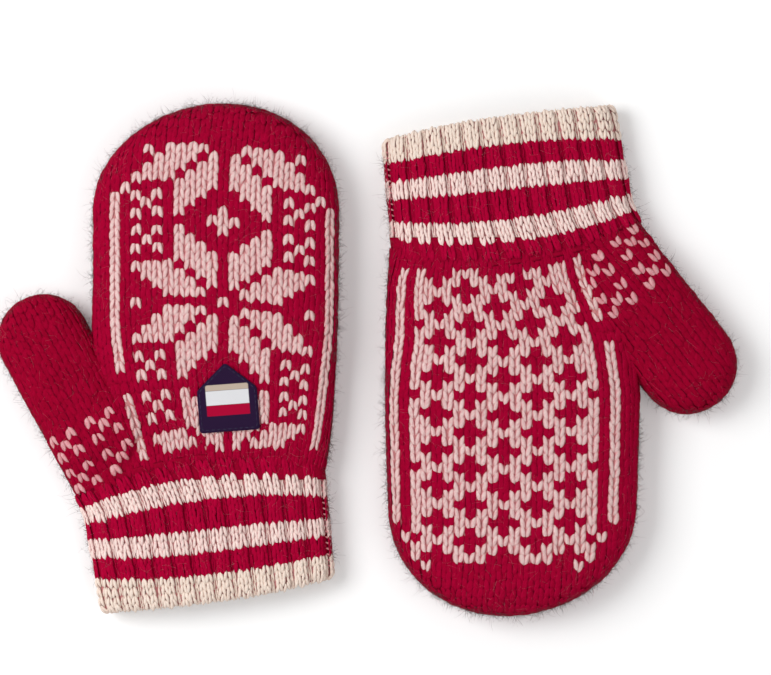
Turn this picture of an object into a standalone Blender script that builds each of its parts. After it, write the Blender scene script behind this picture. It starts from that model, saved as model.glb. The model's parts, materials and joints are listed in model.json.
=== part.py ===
"""A pair of lined wool mittens with a ribbed cuff, laid flat side by side.

The right-hand mitten lies back up with its fingers to +Y. The left-hand one lies palm up, turned end for
end. Both are the same knitted shape: a hand with a thumb gusset, a thumb that swings at its root, a ribbed
cuff, a lining in the hand and in the thumb, a sewn label on the back, a seam along the cuff and a care tag.

Each mitten is modelled in its own frame: the origin at the middle of the wrist, +Y to the fingertips, +Z up,
the thumb towards -X, and Z = 0 on the surface that it lies on.
"""

import math

import bmesh
import bpy
from mathutils import Matrix, Vector

MM = 0.001

# Cloth thicknesses and the clearances between pieces
KNIT = 3.0 * MM
LINING = 2.0 * MM
FIT = 0.3 * MM
JOINT_GAP = 0.5 * MM
REST_FLAT = 0.5 * MM

# Hand: widths and thicknesses are overall, lengths run from the wrist towards the fingertips
WRIST_WIDTH = 101.0 * MM
WRIST_THICKNESS = 20.0 * MM
KNUCKLE_WIDTH = 98.6 * MM
HAND_THICKNESS = 26.0 * MM
WRIST_TO_KNUCKLE = 102.0 * MM
FINGERTIP_DOME = 44.0 * MM
FINGERTIP_ROUNDING = 14.0 * MM
PALM_DRAW_IN = 2.0 * MM
KNUCKLE_LEAN = 6.4 * MM
FINGERTIP_LEAN = 3.0 * MM
SECTION_POWER = 2.6
FULL_HAND_SHARE = 0.625

# Thumb: a flattened pill that swings about its root
THUMB_FROM_MIDDLE = 50.8 * MM
THUMB_FROM_WRIST = 30.7 * MM
THUMB_WIDTH = 36.8 * MM
THUMB_THICKNESS = 22.0 * MM
THUMB_LENGTH = 22.0 * MM
THUMB_CLOSING = math.radians(-5.0)
THUMB_OPENING = math.radians(30.0)
GUSSET_LENGTH = 30.0 * MM

# Cuff: a tilted sleeve with ribs round it
CUFF_LENGTH = 52.0 * MM
CUFF_END_WIDTH = 95.0 * MM
CUFF_END_THICKNESS = 17.0 * MM
CUFF_TILT = math.radians(7.5)
CUFF_RIBS = 24
RIB_DEPTH = 1.4 * MM
RIB_POINTS = 4
SEAM_THREAD = 1.6 * MM

# Label on the back of the hand and care tag inside the cuff
LABEL_WIDTH = 24.0 * MM
LABEL_SHOULDER = 17.0 * MM
LABEL_HEIGHT = 27.5 * MM
LABEL_THICKNESS = 0.8 * MM
LABEL_FROM_MIDDLE = 12.3 * MM
LABEL_FROM_WRIST = 14.4 * MM
LABEL_TURN = math.radians(4.3)
LABEL_HEM = 1.2 * MM
STITCH_WIDTH = 0.6 * MM
TAG_WIDTH = 14.0 * MM
TAG_LENGTH = 20.0 * MM
TAG_THICKNESS = 0.6 * MM
TAG_FROM_WRIST = 2.0 * MM

# How the two lie: the left wrist from the right wrist, and how far each thumb stands off the hand
WRISTS_APART = 130.8 * MM
WRISTS_STAGGER = 86.8 * MM
RIGHT_THUMB_ANGLE = math.radians(28.5)
LEFT_THUMB_ANGLE = math.radians(38.5)

# Mesh steps
HAND_POINTS = 32
HAND_STATIONS = 5
DOME_STATIONS = 7
DOME_LAST_TURN = math.radians(87.0)
DOME_CROWDING = 0.8
PILL_LEVELS = 3
PILL_STEP = math.radians(18.0)
PILL_CROWN = math.radians(75.0)
FINE_STEPS = 16
SHARP_ANGLE = math.radians(40.0)
CUTTER_REACH = 40.0 * MM

THUMB_ROOT = Vector((-THUMB_FROM_MIDDLE, THUMB_FROM_WRIST, 0.0))
LABEL_FOOT = Vector((LABEL_FROM_MIDDLE, LABEL_FROM_WRIST))
LEFT_FROM_RIGHT = Vector((WRISTS_APART, WRISTS_STAGGER, 0.0))

RED_WOOL = ((0.37, 0.002, 0.024, 1.0), 0.95)
CREAM_WOOL = ((0.79, 0.66, 0.58, 1.0), 0.95)
PILE = ((0.35, 0.33, 0.32, 1.0), 1.0)
LABEL_TWILL = ((0.020, 0.016, 0.060, 1.0), 0.8)
LABEL_THREAD = ((0.62, 0.60, 0.64, 1.0), 0.6)
SEAM_WOOL = ((0.62, 0.22, 0.25, 1.0), 0.9)
TAG_SATIN = ((0.85, 0.85, 0.84, 1.0), 0.5)


def clear_scene():
    for item in list(bpy.data.objects):
        bpy.data.objects.remove(item, do_unlink=True)


def new_collection(name):
    collection = bpy.data.collections.new(name)
    bpy.context.scene.collection.children.link(collection)
    return collection


def new_empty(name, place, turn, parent):
    empty = bpy.data.objects.new(name, None)
    empty.location = place
    empty.rotation_euler.z = turn
    empty.parent = parent
    PARTS.objects.link(empty)
    return empty


def finish(name, colour, roughness):
    material = bpy.data.materials.new(name)
    material.use_nodes = True
    shader = material.node_tree.nodes["Principled BSDF"]
    shader.inputs["Base Color"].default_value = colour
    shader.inputs["Roughness"].default_value = roughness
    shader.inputs["Metallic"].default_value = 0.0
    return material


def new_part(name, mesh, look, parent):
    mesh.materials.append(finish(name + "_finish", *look))
    part = bpy.data.objects.new(name, mesh)
    part.parent = parent
    PARTS.objects.link(part)
    return part


def new_cutter(name, mesh, parent, place=Vector(), turn=0.0):
    cutter = bpy.data.objects.new("cutter_" + name, mesh)
    cutter.parent = parent
    cutter.location = place
    cutter.rotation_euler.z = turn
    cutter.hide_render = True
    cutter.display_type = "WIRE"
    CUTTERS.objects.link(cutter)
    return cutter


def boolean(part, cutter, operation, solver="EXACT"):
    step = part.modifiers.new(cutter.name, "BOOLEAN")
    step.operation = operation
    step.object = cutter
    step.solver = solver


def mesh_from(name, form):
    bmesh.ops.recalc_face_normals(form, faces=form.faces)
    mesh = bpy.data.meshes.new(name)
    form.to_mesh(mesh)
    form.free()
    mesh.shade_smooth()
    mesh.set_sharp_from_angle(angle=SHARP_ANGLE)
    return mesh


def loft(name, rings, joined=False):
    """A closed body through rings of equal count: capped at both ends, or joined from last to first."""
    form = bmesh.new()
    loops = [[form.verts.new(point) for point in ring] for ring in rings]
    for low, high in zip(loops, loops[1:] + loops[:1] if joined else loops[1:]):
        for k in range(len(low)):
            following = (k + 1) % len(low)
            form.faces.new((low[k], low[following], high[following], high[k]))
    if not joined:
        form.faces.new(loops[0])
        form.faces.new(loops[-1])
    return mesh_from(name, form)


def prism(name, outline, low, high):
    """An outline in X and Y, extruded from one height to another."""
    return loft(name, [[Vector((x, y, z)) for x, y in outline] for z in (low, high)])


def block(name, size, middle):
    form = bmesh.new()
    bmesh.ops.create_cube(form, matrix=Matrix.Translation(middle) @ Matrix.Diagonal((*size, 1.0)))
    return mesh_from(name, form)


def smooth_step(t):
    t = min(max(t, 0.0), 1.0)
    return t * t * (3.0 - 2.0 * t)


def signed_power(value, power):
    return math.copysign(abs(value) ** power, value)


def oval(half_width, half_height, count):
    """Points of a rounded rectangle with the hand's section, from +X round through +Z."""
    points = []
    for k in range(count):
        angle = 2.0 * math.pi * k / count
        across = half_width * signed_power(math.cos(angle), 2.0 / SECTION_POWER)
        up = half_height * signed_power(math.sin(angle), 2.0 / SECTION_POWER)
        points.append((across, up))
    return points


def even_oval(half_width, half_height, count):
    """The same section with points evenly spaced along it."""
    fine = oval(half_width, half_height, FINE_STEPS * count)
    fine.append(fine[0])
    travelled = [0.0]
    for here, there in zip(fine, fine[1:]):
        travelled.append(travelled[-1] + math.dist(here, there))
    points, k = [], 0
    for step in range(count):
        target = travelled[-1] * step / count
        while travelled[k + 1] < target:
            k += 1
        share = (target - travelled[k]) / (travelled[k + 1] - travelled[k])
        points.append(tuple(a + (b - a) * share for a, b in zip(fine[k], fine[k + 1])))
    return points


def placed_ring(section, middle, tilt, height, floor):
    """A section standing across the mitten at a middle point, turned by the tilt and flat where it rests."""
    ring = []
    for across, up in section:
        x = middle.x + across * math.cos(tilt)
        y = middle.y + across * math.sin(tilt)
        ring.append(Vector((x, y, max(height + up, floor))))
    return ring


def wrist_frame(along):
    """The middle of the cuff's axis at a distance past the wrist towards the cuff's end."""
    return Vector((math.sin(CUFF_TILT) * along, -math.cos(CUFF_TILT) * along, 0.0))


def hand_rings(inset, wrist_reach, floor, count=HAND_POINTS):
    """Rings of the hand, set in from its outer face, from below the wrist to the fingertips."""
    rings = []
    middle_height = HAND_THICKNESS / 2.0 - REST_FLAT
    wrist_height = WRIST_THICKNESS / 2.0 - REST_FLAT
    for k in range(-1, HAND_STATIONS + 1):
        t = max(k, 0) / HAND_STATIONS
        middle = Vector((KNUCKLE_LEAN * (1.0 - (1.0 - t) ** 3), WRIST_TO_KNUCKLE * t, 0.0))
        if k < 0:
            middle = wrist_frame(wrist_reach)
        half_width = (WRIST_WIDTH + (KNUCKLE_WIDTH - WRIST_WIDTH) * t) / 2.0
        half_width -= PALM_DRAW_IN * math.sin(math.pi * t) + inset
        rise = smooth_step(t / FULL_HAND_SHARE)
        half_height = (WRIST_THICKNESS + (HAND_THICKNESS - WRIST_THICKNESS) * rise) / 2.0 - inset
        height = wrist_height + (middle_height - wrist_height) * rise
        tilt = CUFF_TILT * (1.0 - rise)
        rings.append(placed_ring(oval(half_width, half_height, count), middle, tilt, height, floor))
    dome, rounding = FINGERTIP_DOME - inset, FINGERTIP_ROUNDING - inset
    for k in range(1, DOME_STATIONS + 1):
        angle = DOME_LAST_TURN * (k / DOME_STATIONS) ** DOME_CROWDING
        lean = KNUCKLE_LEAN + FINGERTIP_LEAN * math.sin(angle) ** 2
        middle = Vector((lean, WRIST_TO_KNUCKLE + dome * math.sin(angle), 0.0))
        half_width = (KNUCKLE_WIDTH / 2.0 - inset) * math.cos(angle)
        left = min(1.0, dome * (1.0 - math.sin(angle)) / rounding)
        half_height = (HAND_THICKNESS / 2.0 - inset) * math.sqrt(1.0 - (1.0 - left) ** 2)
        section = oval(half_width, half_height, count)
        rings.append(placed_ring(section, middle, 0.0, middle_height, floor))
    return rings


def pill_outline(length, reach, closing=0.0, opening=0.0):
    """Points at a distance outside the line from the thumb's root to its tip, swung between two angles.

    The root is at the origin and the tip along +Y. Each point is the furthest point of the swung line in one
    direction, moved outwards by the distance.
    """
    quarter = math.pi / 2.0
    arcs = [(closing - quarter, closing, closing), (opening, opening + quarter, opening)]
    if opening > closing:
        arcs.insert(1, (closing, opening, None))
    arcs.append((opening + quarter, closing + 3.0 * quarter, math.inf))
    outline = []
    for first, last, tip in arcs:
        steps = max(2, round((last - first) / PILL_STEP))
        for k in range(steps + (tip == opening or tip == math.inf)):
            turn = first + (last - first) * k / steps
            away = Vector((-math.sin(turn), math.cos(turn)))
            line = turn if tip is None else tip
            end = Vector() if tip == math.inf else Vector((-math.sin(line), math.cos(line), 0.0)) * length
            outline.append((end.x + away.x * reach, end.y + away.y * reach))
    return outline


def pill_rings(length, inset, floor):
    """Level rings of the flattened pill of the thumb, from its crown down to the flat that it rests on."""
    radius = THUMB_WIDTH / 2.0 - inset
    half_height = THUMB_THICKNESS / 2.0 - inset
    middle_height = THUMB_THICKNESS / 2.0 - REST_FLAT
    foot = math.asin(((middle_height - floor) / half_height) ** (SECTION_POWER / 2.0))
    turns = [PILL_CROWN * (1.0 - k / PILL_LEVELS) for k in range(PILL_LEVELS)]
    turns += [-foot * k / PILL_LEVELS for k in range(PILL_LEVELS + 1)]
    rings = []
    for turn in turns:
        reach = radius * math.cos(turn) ** (2.0 / SECTION_POWER)
        height = middle_height + half_height * signed_power(math.sin(turn), 2.0 / SECTION_POWER)
        rings.append([Vector((x, y, height)) for x, y in pill_outline(length, reach)])
    return rings


def label_outline(inset):
    """The label's five corners, set in from its edge, in the mitten's frame."""
    half = LABEL_WIDTH / 2.0
    corners = [
        Vector((-half, 0.0)),
        Vector((half, 0.0)),
        Vector((half, LABEL_SHOULDER)),
        Vector((0.0, LABEL_HEIGHT)),
        Vector((-half, LABEL_SHOULDER)),
    ]
    turn = Matrix.Rotation(LABEL_TURN, 2)
    outline = []
    for k, corner in enumerate(corners):
        arrive = (corner - corners[k - 1]).normalized()
        leave = (corners[(k + 1) % len(corners)] - corner).normalized()
        inward = Vector((-arrive.y - leave.y, arrive.x + leave.x)).normalized()
        slant = inward.dot(Vector((-arrive.y, arrive.x)))
        outline.append(turn @ (corner + inward * (inset / slant)) + LABEL_FOOT)
    return outline


class Mitten:
    """One mitten, built in its own frame under an empty that places it."""

    def __init__(self, side, place, turn, thumb_angle, back_up, pair):
        self.side = side
        self.thumb_angle = thumb_angle
        self.back_up = back_up
        self.frame = new_empty(side + "_mitten", place, turn, pair)
        self.thumb_frame = new_empty(side + "_thumb_root", THUMB_ROOT, thumb_angle, self.frame)

    def name(self, piece):
        return self.side + "_" + piece

    def build(self):
        self.sweep = self.thumb_sweep()
        self.hand()
        self.hand_lining()
        self.thumb()
        self.thumb_lining()
        self.cuff()
        self.cuff_seam()
        self.care_tag()
        self.label()

    def hand_cutter(self, name, inset, floor):
        rings = hand_rings(inset, CUTTER_REACH, floor)
        return new_cutter(self.name(name), loft(name, rings), self.frame)

    def pill_cutter(self, name, length, inset, floor, place, turn):
        mesh = loft(name, pill_rings(length, inset, floor))
        return new_cutter(self.name(name), mesh, self.frame, place, turn)

    def thumb_sweep(self):
        """A cutter that clears the thumb's way from its closing to its opening limit."""
        reach = THUMB_WIDTH / 2.0 + JOINT_GAP
        outline = pill_outline(THUMB_LENGTH, reach, THUMB_CLOSING, THUMB_OPENING)
        way = prism("thumb_way", outline, -KNIT, 2.0 * HAND_THICKNESS)
        return new_cutter(self.name("thumb_way"), way, self.thumb_frame)

    def wrist_cutter(self, name, past):
        """A block over the cuff's side of the wrist, from a distance past the wrist line."""
        size = Vector((2.0 * WRIST_WIDTH, 2.0 * CUTTER_REACH, 4.0 * HAND_THICKNESS))
        middle = Vector((0.0, -past - CUTTER_REACH, 0.0))
        return new_cutter(self.name(name), block(name, size, middle), self.frame, turn=CUFF_TILT)

    def floor_cutter(self):
        """A block under the surface that the mitten lies on."""
        size = Vector((4.0 * WRIST_WIDTH, 4.0 * (WRIST_TO_KNUCKLE + FINGERTIP_DOME), 2.0 * KNIT))
        middle = Vector((0.0, 0.0, -KNIT))
        return new_cutter(self.name("floor"), block("floor", size, middle), self.frame)

    def hand(self):
        """The knitted hand with its thumb gusset, open at the wrist and at the thumb."""
        mesh = loft("hand", hand_rings(0.0, CUTTER_REACH / 2.0, -KNIT))
        part = new_part(self.name("hand"), mesh, RED_WOOL, self.frame)
        away = Vector((math.sin(self.thumb_angle), -math.cos(self.thumb_angle), 0.0))
        foot = THUMB_ROOT + away * GUSSET_LENGTH
        gusset = self.pill_cutter("gusset", GUSSET_LENGTH, 0.0, -REST_FLAT / 2.0, foot, self.thumb_angle)
        hollow = self.pill_cutter("gusset_hollow", GUSSET_LENGTH, KNIT, KNIT + FIT, foot, self.thumb_angle)
        cutters = [self.hand_cutter("hand_hollow", KNIT, KNIT), hollow, self.floor_cutter(), self.sweep]
        cutters.append(self.wrist_cutter("wrist_edge", 0.0))
        if not self.back_up:
            pocket = prism("label_pocket", label_outline(-FIT), -KNIT, self.label_base() + FIT)
            cutters.append(new_cutter(self.name("label_pocket"), pocket, self.frame))
        # The gusset's side runs close along the hand's, where EXACT can leave the surface open.
        boolean(part, gusset, "UNION", "MANIFOLD")
        for cutter in cutters:
            boolean(part, cutter, "DIFFERENCE", "MANIFOLD")

    def hand_lining(self):
        """The lining of the hand, a bag inside the knit with a hole at the thumb."""
        outer, inner = KNIT + FIT, KNIT + FIT + LINING
        points = HAND_POINTS * 3 // 4
        bag = list(reversed(hand_rings(outer, CUTTER_REACH / 2.0, outer, points)))
        bag += hand_rings(inner, CUTTER_REACH / 2.0, inner, points)
        part = new_part(self.name("hand_lining"), loft("hand_lining", bag), PILE, self.frame)
        boolean(part, self.sweep, "DIFFERENCE")
        boolean(part, self.wrist_cutter("lining_edge", -KNIT), "DIFFERENCE")

    def thumb_passage(self, name, inset):
        """A block that opens the root end of a thumb layer into the hand."""
        width = THUMB_WIDTH - 2.0 * inset - 2.0 * FIT
        size = Vector((width, THUMB_WIDTH, THUMB_THICKNESS - 2.0 * inset - 2.0 * REST_FLAT))
        middle = Vector((0.0, -THUMB_WIDTH / 2.0, THUMB_THICKNESS / 2.0 - REST_FLAT / 2.0))
        return new_cutter(self.name(name), block(name, size, middle), self.thumb_frame)

    def thumb_layer(self, piece, look, outer, inner):
        """One layer of the thumb: a pill-shaped shell, open at its root end."""
        mesh = loft(piece, pill_rings(THUMB_LENGTH, outer, outer))
        part = new_part(self.name(piece), mesh, look, self.thumb_frame)
        hollow = loft(piece + "_hollow", pill_rings(THUMB_LENGTH, inner, inner))
        boolean(part, new_cutter(self.name(piece + "_hollow"), hollow, self.thumb_frame), "DIFFERENCE")
        boolean(part, self.thumb_passage(piece + "_passage", inner), "DIFFERENCE")

    def thumb(self):
        self.thumb_layer("thumb", RED_WOOL, 0.0, KNIT)

    def thumb_lining(self):
        outer = KNIT + FIT
        self.thumb_layer("thumb_lining", PILE, outer, outer + LINING)

    def cuff_ring(self, along, inset, ribbed):
        share = along / CUFF_LENGTH
        half_width = (WRIST_WIDTH + (CUFF_END_WIDTH - WRIST_WIDTH) * share) / 2.0 - inset
        thickness = WRIST_THICKNESS + (CUFF_END_THICKNESS - WRIST_THICKNESS) * share
        half_height = thickness / 2.0 - inset
        count = CUFF_RIBS * RIB_POINTS
        section = []
        for k, (across, up) in enumerate(even_oval(half_width, half_height, count)):
            outward = Vector((across / half_width**2, up / half_height**2)).normalized()
            valley = RIB_DEPTH * (0.5 - 0.5 * math.cos(2.0 * math.pi * k / RIB_POINTS)) if ribbed else 0.0
            section.append((across - outward.x * valley, up - outward.y * valley))
        height = thickness / 2.0 - REST_FLAT
        return placed_ring(section, wrist_frame(along), CUFF_TILT, height, inset)

    def cuff(self):
        """The ribbed sleeve between the wrist and the open end."""
        ends = (FIT, CUFF_LENGTH / 2.0, CUFF_LENGTH)
        rings = [self.cuff_ring(along, 0.0, True) for along in ends]
        rings += [self.cuff_ring(along, KNIT, False) for along in reversed(ends)]
        new_part(self.name("cuff"), loft("cuff", rings, joined=True), CREAM_WOOL, self.frame)

    def cuff_seam(self):
        """The sewn seam along the little-finger side of the cuff."""
        spline_points = []
        for along in (2.0 * SEAM_THREAD, CUFF_LENGTH - 2.0 * SEAM_THREAD):
            share = along / CUFF_LENGTH
            half_width = (WRIST_WIDTH + (CUFF_END_WIDTH - WRIST_WIDTH) * share) / 2.0
            thickness = WRIST_THICKNESS + (CUFF_END_THICKNESS - WRIST_THICKNESS) * share
            across = half_width + FIT + SEAM_THREAD / 2.0
            point = wrist_frame(along) + Vector((math.cos(CUFF_TILT), math.sin(CUFF_TILT), 0.0)) * across
            point.z = thickness / 2.0 - REST_FLAT
            spline_points.append(point)
        curve = bpy.data.curves.new("cuff_seam", "CURVE")
        curve.dimensions = "3D"
        curve.bevel_depth = SEAM_THREAD / 2.0
        curve.bevel_resolution = 2
        curve.use_fill_caps = True
        spline = curve.splines.new("POLY")
        spline.points.add(len(spline_points) - 1)
        for target, point in zip(spline.points, spline_points):
            target.co = (*point, 1.0)
        new_part(self.name("cuff_seam"), curve, SEAM_WOOL, self.frame)

    def care_tag(self):
        """A satin tag sewn in at the lining's edge, lying on the floor of the cuff."""
        size = Vector((TAG_WIDTH, TAG_LENGTH, TAG_THICKNESS))
        middle = Vector((0.0, -TAG_FROM_WRIST - TAG_LENGTH / 2.0, KNIT + FIT + TAG_THICKNESS / 2.0))
        tag = new_part(self.name("care_tag"), block("care_tag", size, middle), TAG_SATIN, self.frame)
        tag.rotation_euler.z = CUFF_TILT

    def label_base(self):
        """How far a label on the underside reaches into the knit."""
        return STITCH_WIDTH + FIT + LABEL_THICKNESS

    def label(self):
        """The five-sided label on the back of the hand, and the ring of stitching that holds it."""
        hem = LABEL_HEM + STITCH_WIDTH
        if self.back_up:
            low, high = 0.0, 2.0 * HAND_THICKNESS
        else:
            low, high = STITCH_WIDTH + FIT, self.label_base()
        patch = prism("label", label_outline(0.0), low, high)
        patch = new_part(self.name("label"), patch, LABEL_TWILL, self.frame)
        if not self.back_up:
            low, high = 0.0, STITCH_WIDTH
        stitches = prism("label_stitching", label_outline(LABEL_HEM), low, high)
        stitches = new_part(self.name("label_stitching"), stitches, LABEL_THREAD, self.frame)
        inside = prism("stitching_inside", label_outline(hem), low - KNIT, high + KNIT)
        boolean(stitches, new_cutter(self.name("stitching_inside"), inside, self.frame), "DIFFERENCE")
        if self.back_up:
            self.lay_on_hand(patch, FIT, LABEL_THICKNESS)
            self.lay_on_hand(stitches, FIT + LABEL_THICKNESS + FIT, STITCH_WIDTH)

    def lay_on_hand(self, part, off, thickness):
        """Keep only the layer of a part between two heights over the back of the hand."""
        top = self.hand_cutter(part.name + "_top", -off - thickness, -off - thickness)
        boolean(part, top, "INTERSECT")
        boolean(part, self.hand_cutter(part.name + "_seat", -off, -off), "DIFFERENCE")


def centre_on_origin(pair):
    """Move the pair so that the middle of its box's underside is at the origin."""
    bpy.context.view_layer.update()
    graph = bpy.context.evaluated_depsgraph_get()
    corners = []
    for part in PARTS.objects:
        if part.type != "EMPTY":
            shown = part.evaluated_get(graph)
            corners += [shown.matrix_world @ vertex.co for vertex in shown.to_mesh().vertices]
            shown.to_mesh_clear()
    low = Vector(min(corner[axis] for corner in corners) for axis in range(3))
    high = Vector(max(corner[axis] for corner in corners) for axis in range(3))
    pair.location -= Vector(((low.x + high.x) / 2.0, (low.y + high.y) / 2.0, low.z))
    bpy.context.view_layer.update()


clear_scene()
PARTS = new_collection("knitted_mittens")
CUTTERS = new_collection("mitten_cutters")
PAIR = new_empty("mitten_pair", Vector(), 0.0, None)
Mitten("right", Vector(), 0.0, RIGHT_THUMB_ANGLE, True, PAIR).build()
Mitten("left", LEFT_FROM_RIGHT, math.pi, LEFT_THUMB_ANGLE, False, PAIR).build()
centre_on_origin(PAIR)
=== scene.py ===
"""Looks of a pair of knitted wool mittens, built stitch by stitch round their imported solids.

Every shape is worked out in millimetres in a mitten's own frame: the origin at the middle of the wrist, +Y to
the fingertips, +Z up, the thumb towards -X and Z = 0 on the surface that the mitten lies on. The right mitten
lies back up. The left one lies palm up and is turned end for end.
"""

import json
import logging
import math
from dataclasses import dataclass, replace
from enum import Enum
from functools import cache
from typing import ClassVar

import bpy
import numpy as np
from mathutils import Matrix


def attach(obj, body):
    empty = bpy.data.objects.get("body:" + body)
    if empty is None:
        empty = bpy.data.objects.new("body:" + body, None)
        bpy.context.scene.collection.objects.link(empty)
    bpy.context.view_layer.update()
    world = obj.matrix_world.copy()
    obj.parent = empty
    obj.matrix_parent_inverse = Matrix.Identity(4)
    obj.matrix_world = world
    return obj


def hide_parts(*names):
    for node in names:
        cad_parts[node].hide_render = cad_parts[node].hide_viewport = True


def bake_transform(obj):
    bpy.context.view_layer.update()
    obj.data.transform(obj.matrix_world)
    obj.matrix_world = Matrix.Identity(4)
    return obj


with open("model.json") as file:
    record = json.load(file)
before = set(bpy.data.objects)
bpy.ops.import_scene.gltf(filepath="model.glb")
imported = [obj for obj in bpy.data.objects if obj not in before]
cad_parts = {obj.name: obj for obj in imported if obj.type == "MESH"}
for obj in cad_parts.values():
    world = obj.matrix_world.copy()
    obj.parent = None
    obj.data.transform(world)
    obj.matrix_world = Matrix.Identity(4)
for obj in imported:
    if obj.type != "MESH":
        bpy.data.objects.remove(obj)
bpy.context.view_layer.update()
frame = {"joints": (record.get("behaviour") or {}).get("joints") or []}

MM = 0.001

# Seeds of the unevenness of each region's loops, of where the loose fibres lie, and of each strand's pattern.
HAND_SEED = 1871
THUMB_SEED = HAND_SEED + 10
CUFF_SEED = HAND_SEED + 20
FUZZ_SEED = HAND_SEED + 40
FIBRE_SEED = HAND_SEED + 50
LABEL_SEED = HAND_SEED + 60
SEAM_SEED = HAND_SEED + 70

# Heights over the table, in millimetres, that yarn and thread are pressed up from.
TABLE_CLEAR = 0.15
KNIT_GIVE = 1.05
THREAD_CLEAR = 0.02
THREAD_GIVE = 0.25

# How finely curves are walked, how near to its closed tip a form is worked out, the least length that is
# divided by, and the slope from which a strand counts as upright.
ARC_STEPS = 96
FACE_STEPS = 240
RIM_STEPS = 400
LAST_SHARE = 0.9995
TIP_GAP = 0.05
TINY = 1e-9
UPRIGHT = 0.9

# A distance that stands for no limit, the step to a loop beside, and the room of the strands' pattern.
FAR = 99.0
BESIDE = 0.3
STRAND_ROOM = 60.0

# Loops are left out within this share of a wale of a rim, this far past the cuff's line and under knit.
RIM_SHARE = 0.9
JOIN_OVERLAP = 0.5
HIDDEN_UNDER = 0.4

Array = np.ndarray
Section = tuple[Array, Array, Array, Array]
Tree = bpy.types.NodeTree
Node = bpy.types.Node
Socket = bpy.types.NodeSocket
Material = bpy.types.Material
Piece = bpy.types.Object
log = logging.getLogger("mittens")


class Side(Enum):
    """The two mittens of the pair, by the hand that wears them."""

    RIGHT = "right"
    LEFT = "left"


class Yarn(Enum):
    """The yarns that the mittens are knitted with."""

    RED = "red"
    CREAM = "cream"
    ECRU = "ecru"


def smooth_step(share: Array) -> Array:
    """A share from 0 to 1 that starts and ends level: 3t squared less 2t cubed."""
    t = np.clip(share, 0.0, 1.0)
    return t * t * (3.0 - 2.0 * t)


def unit(vectors: Array) -> Array:
    """Vectors along the last axis, each divided by its length."""
    return vectors / np.maximum(np.linalg.norm(vectors, axis=-1, keepdims=True), TINY)


def turned(points: Array, angle: float) -> Array:
    """Points turned by an angle in X and Y, with any further numbers as they were."""
    x, y = points[..., 0], points[..., 1]
    cosine, sine = math.cos(angle), math.sin(angle)
    flat = np.stack([x * cosine - y * sine, x * sine + y * cosine], -1)
    return np.concatenate([flat, points[..., 2:]], -1)


def soft_top(first: Array, second: Array, reach: Array) -> Array:
    """The higher of two heights a and b, plus reach / 4 * (1 - |a - b| / reach) squared inside the reach."""
    near = np.maximum(reach - np.abs(first - second), 0.0) / reach
    return np.maximum(first, second) + near * near * reach / 4.0


def settle(z: Array, floor: Array | float, give: float) -> Array:
    """Heights pressed up from a floor: with u = z - floor - give below 0, floor + give * exp(u / give)."""
    under = np.minimum(z - floor - give, 0.0)
    return np.where(under < 0.0, floor + give * np.exp(under / give), z)


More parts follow.
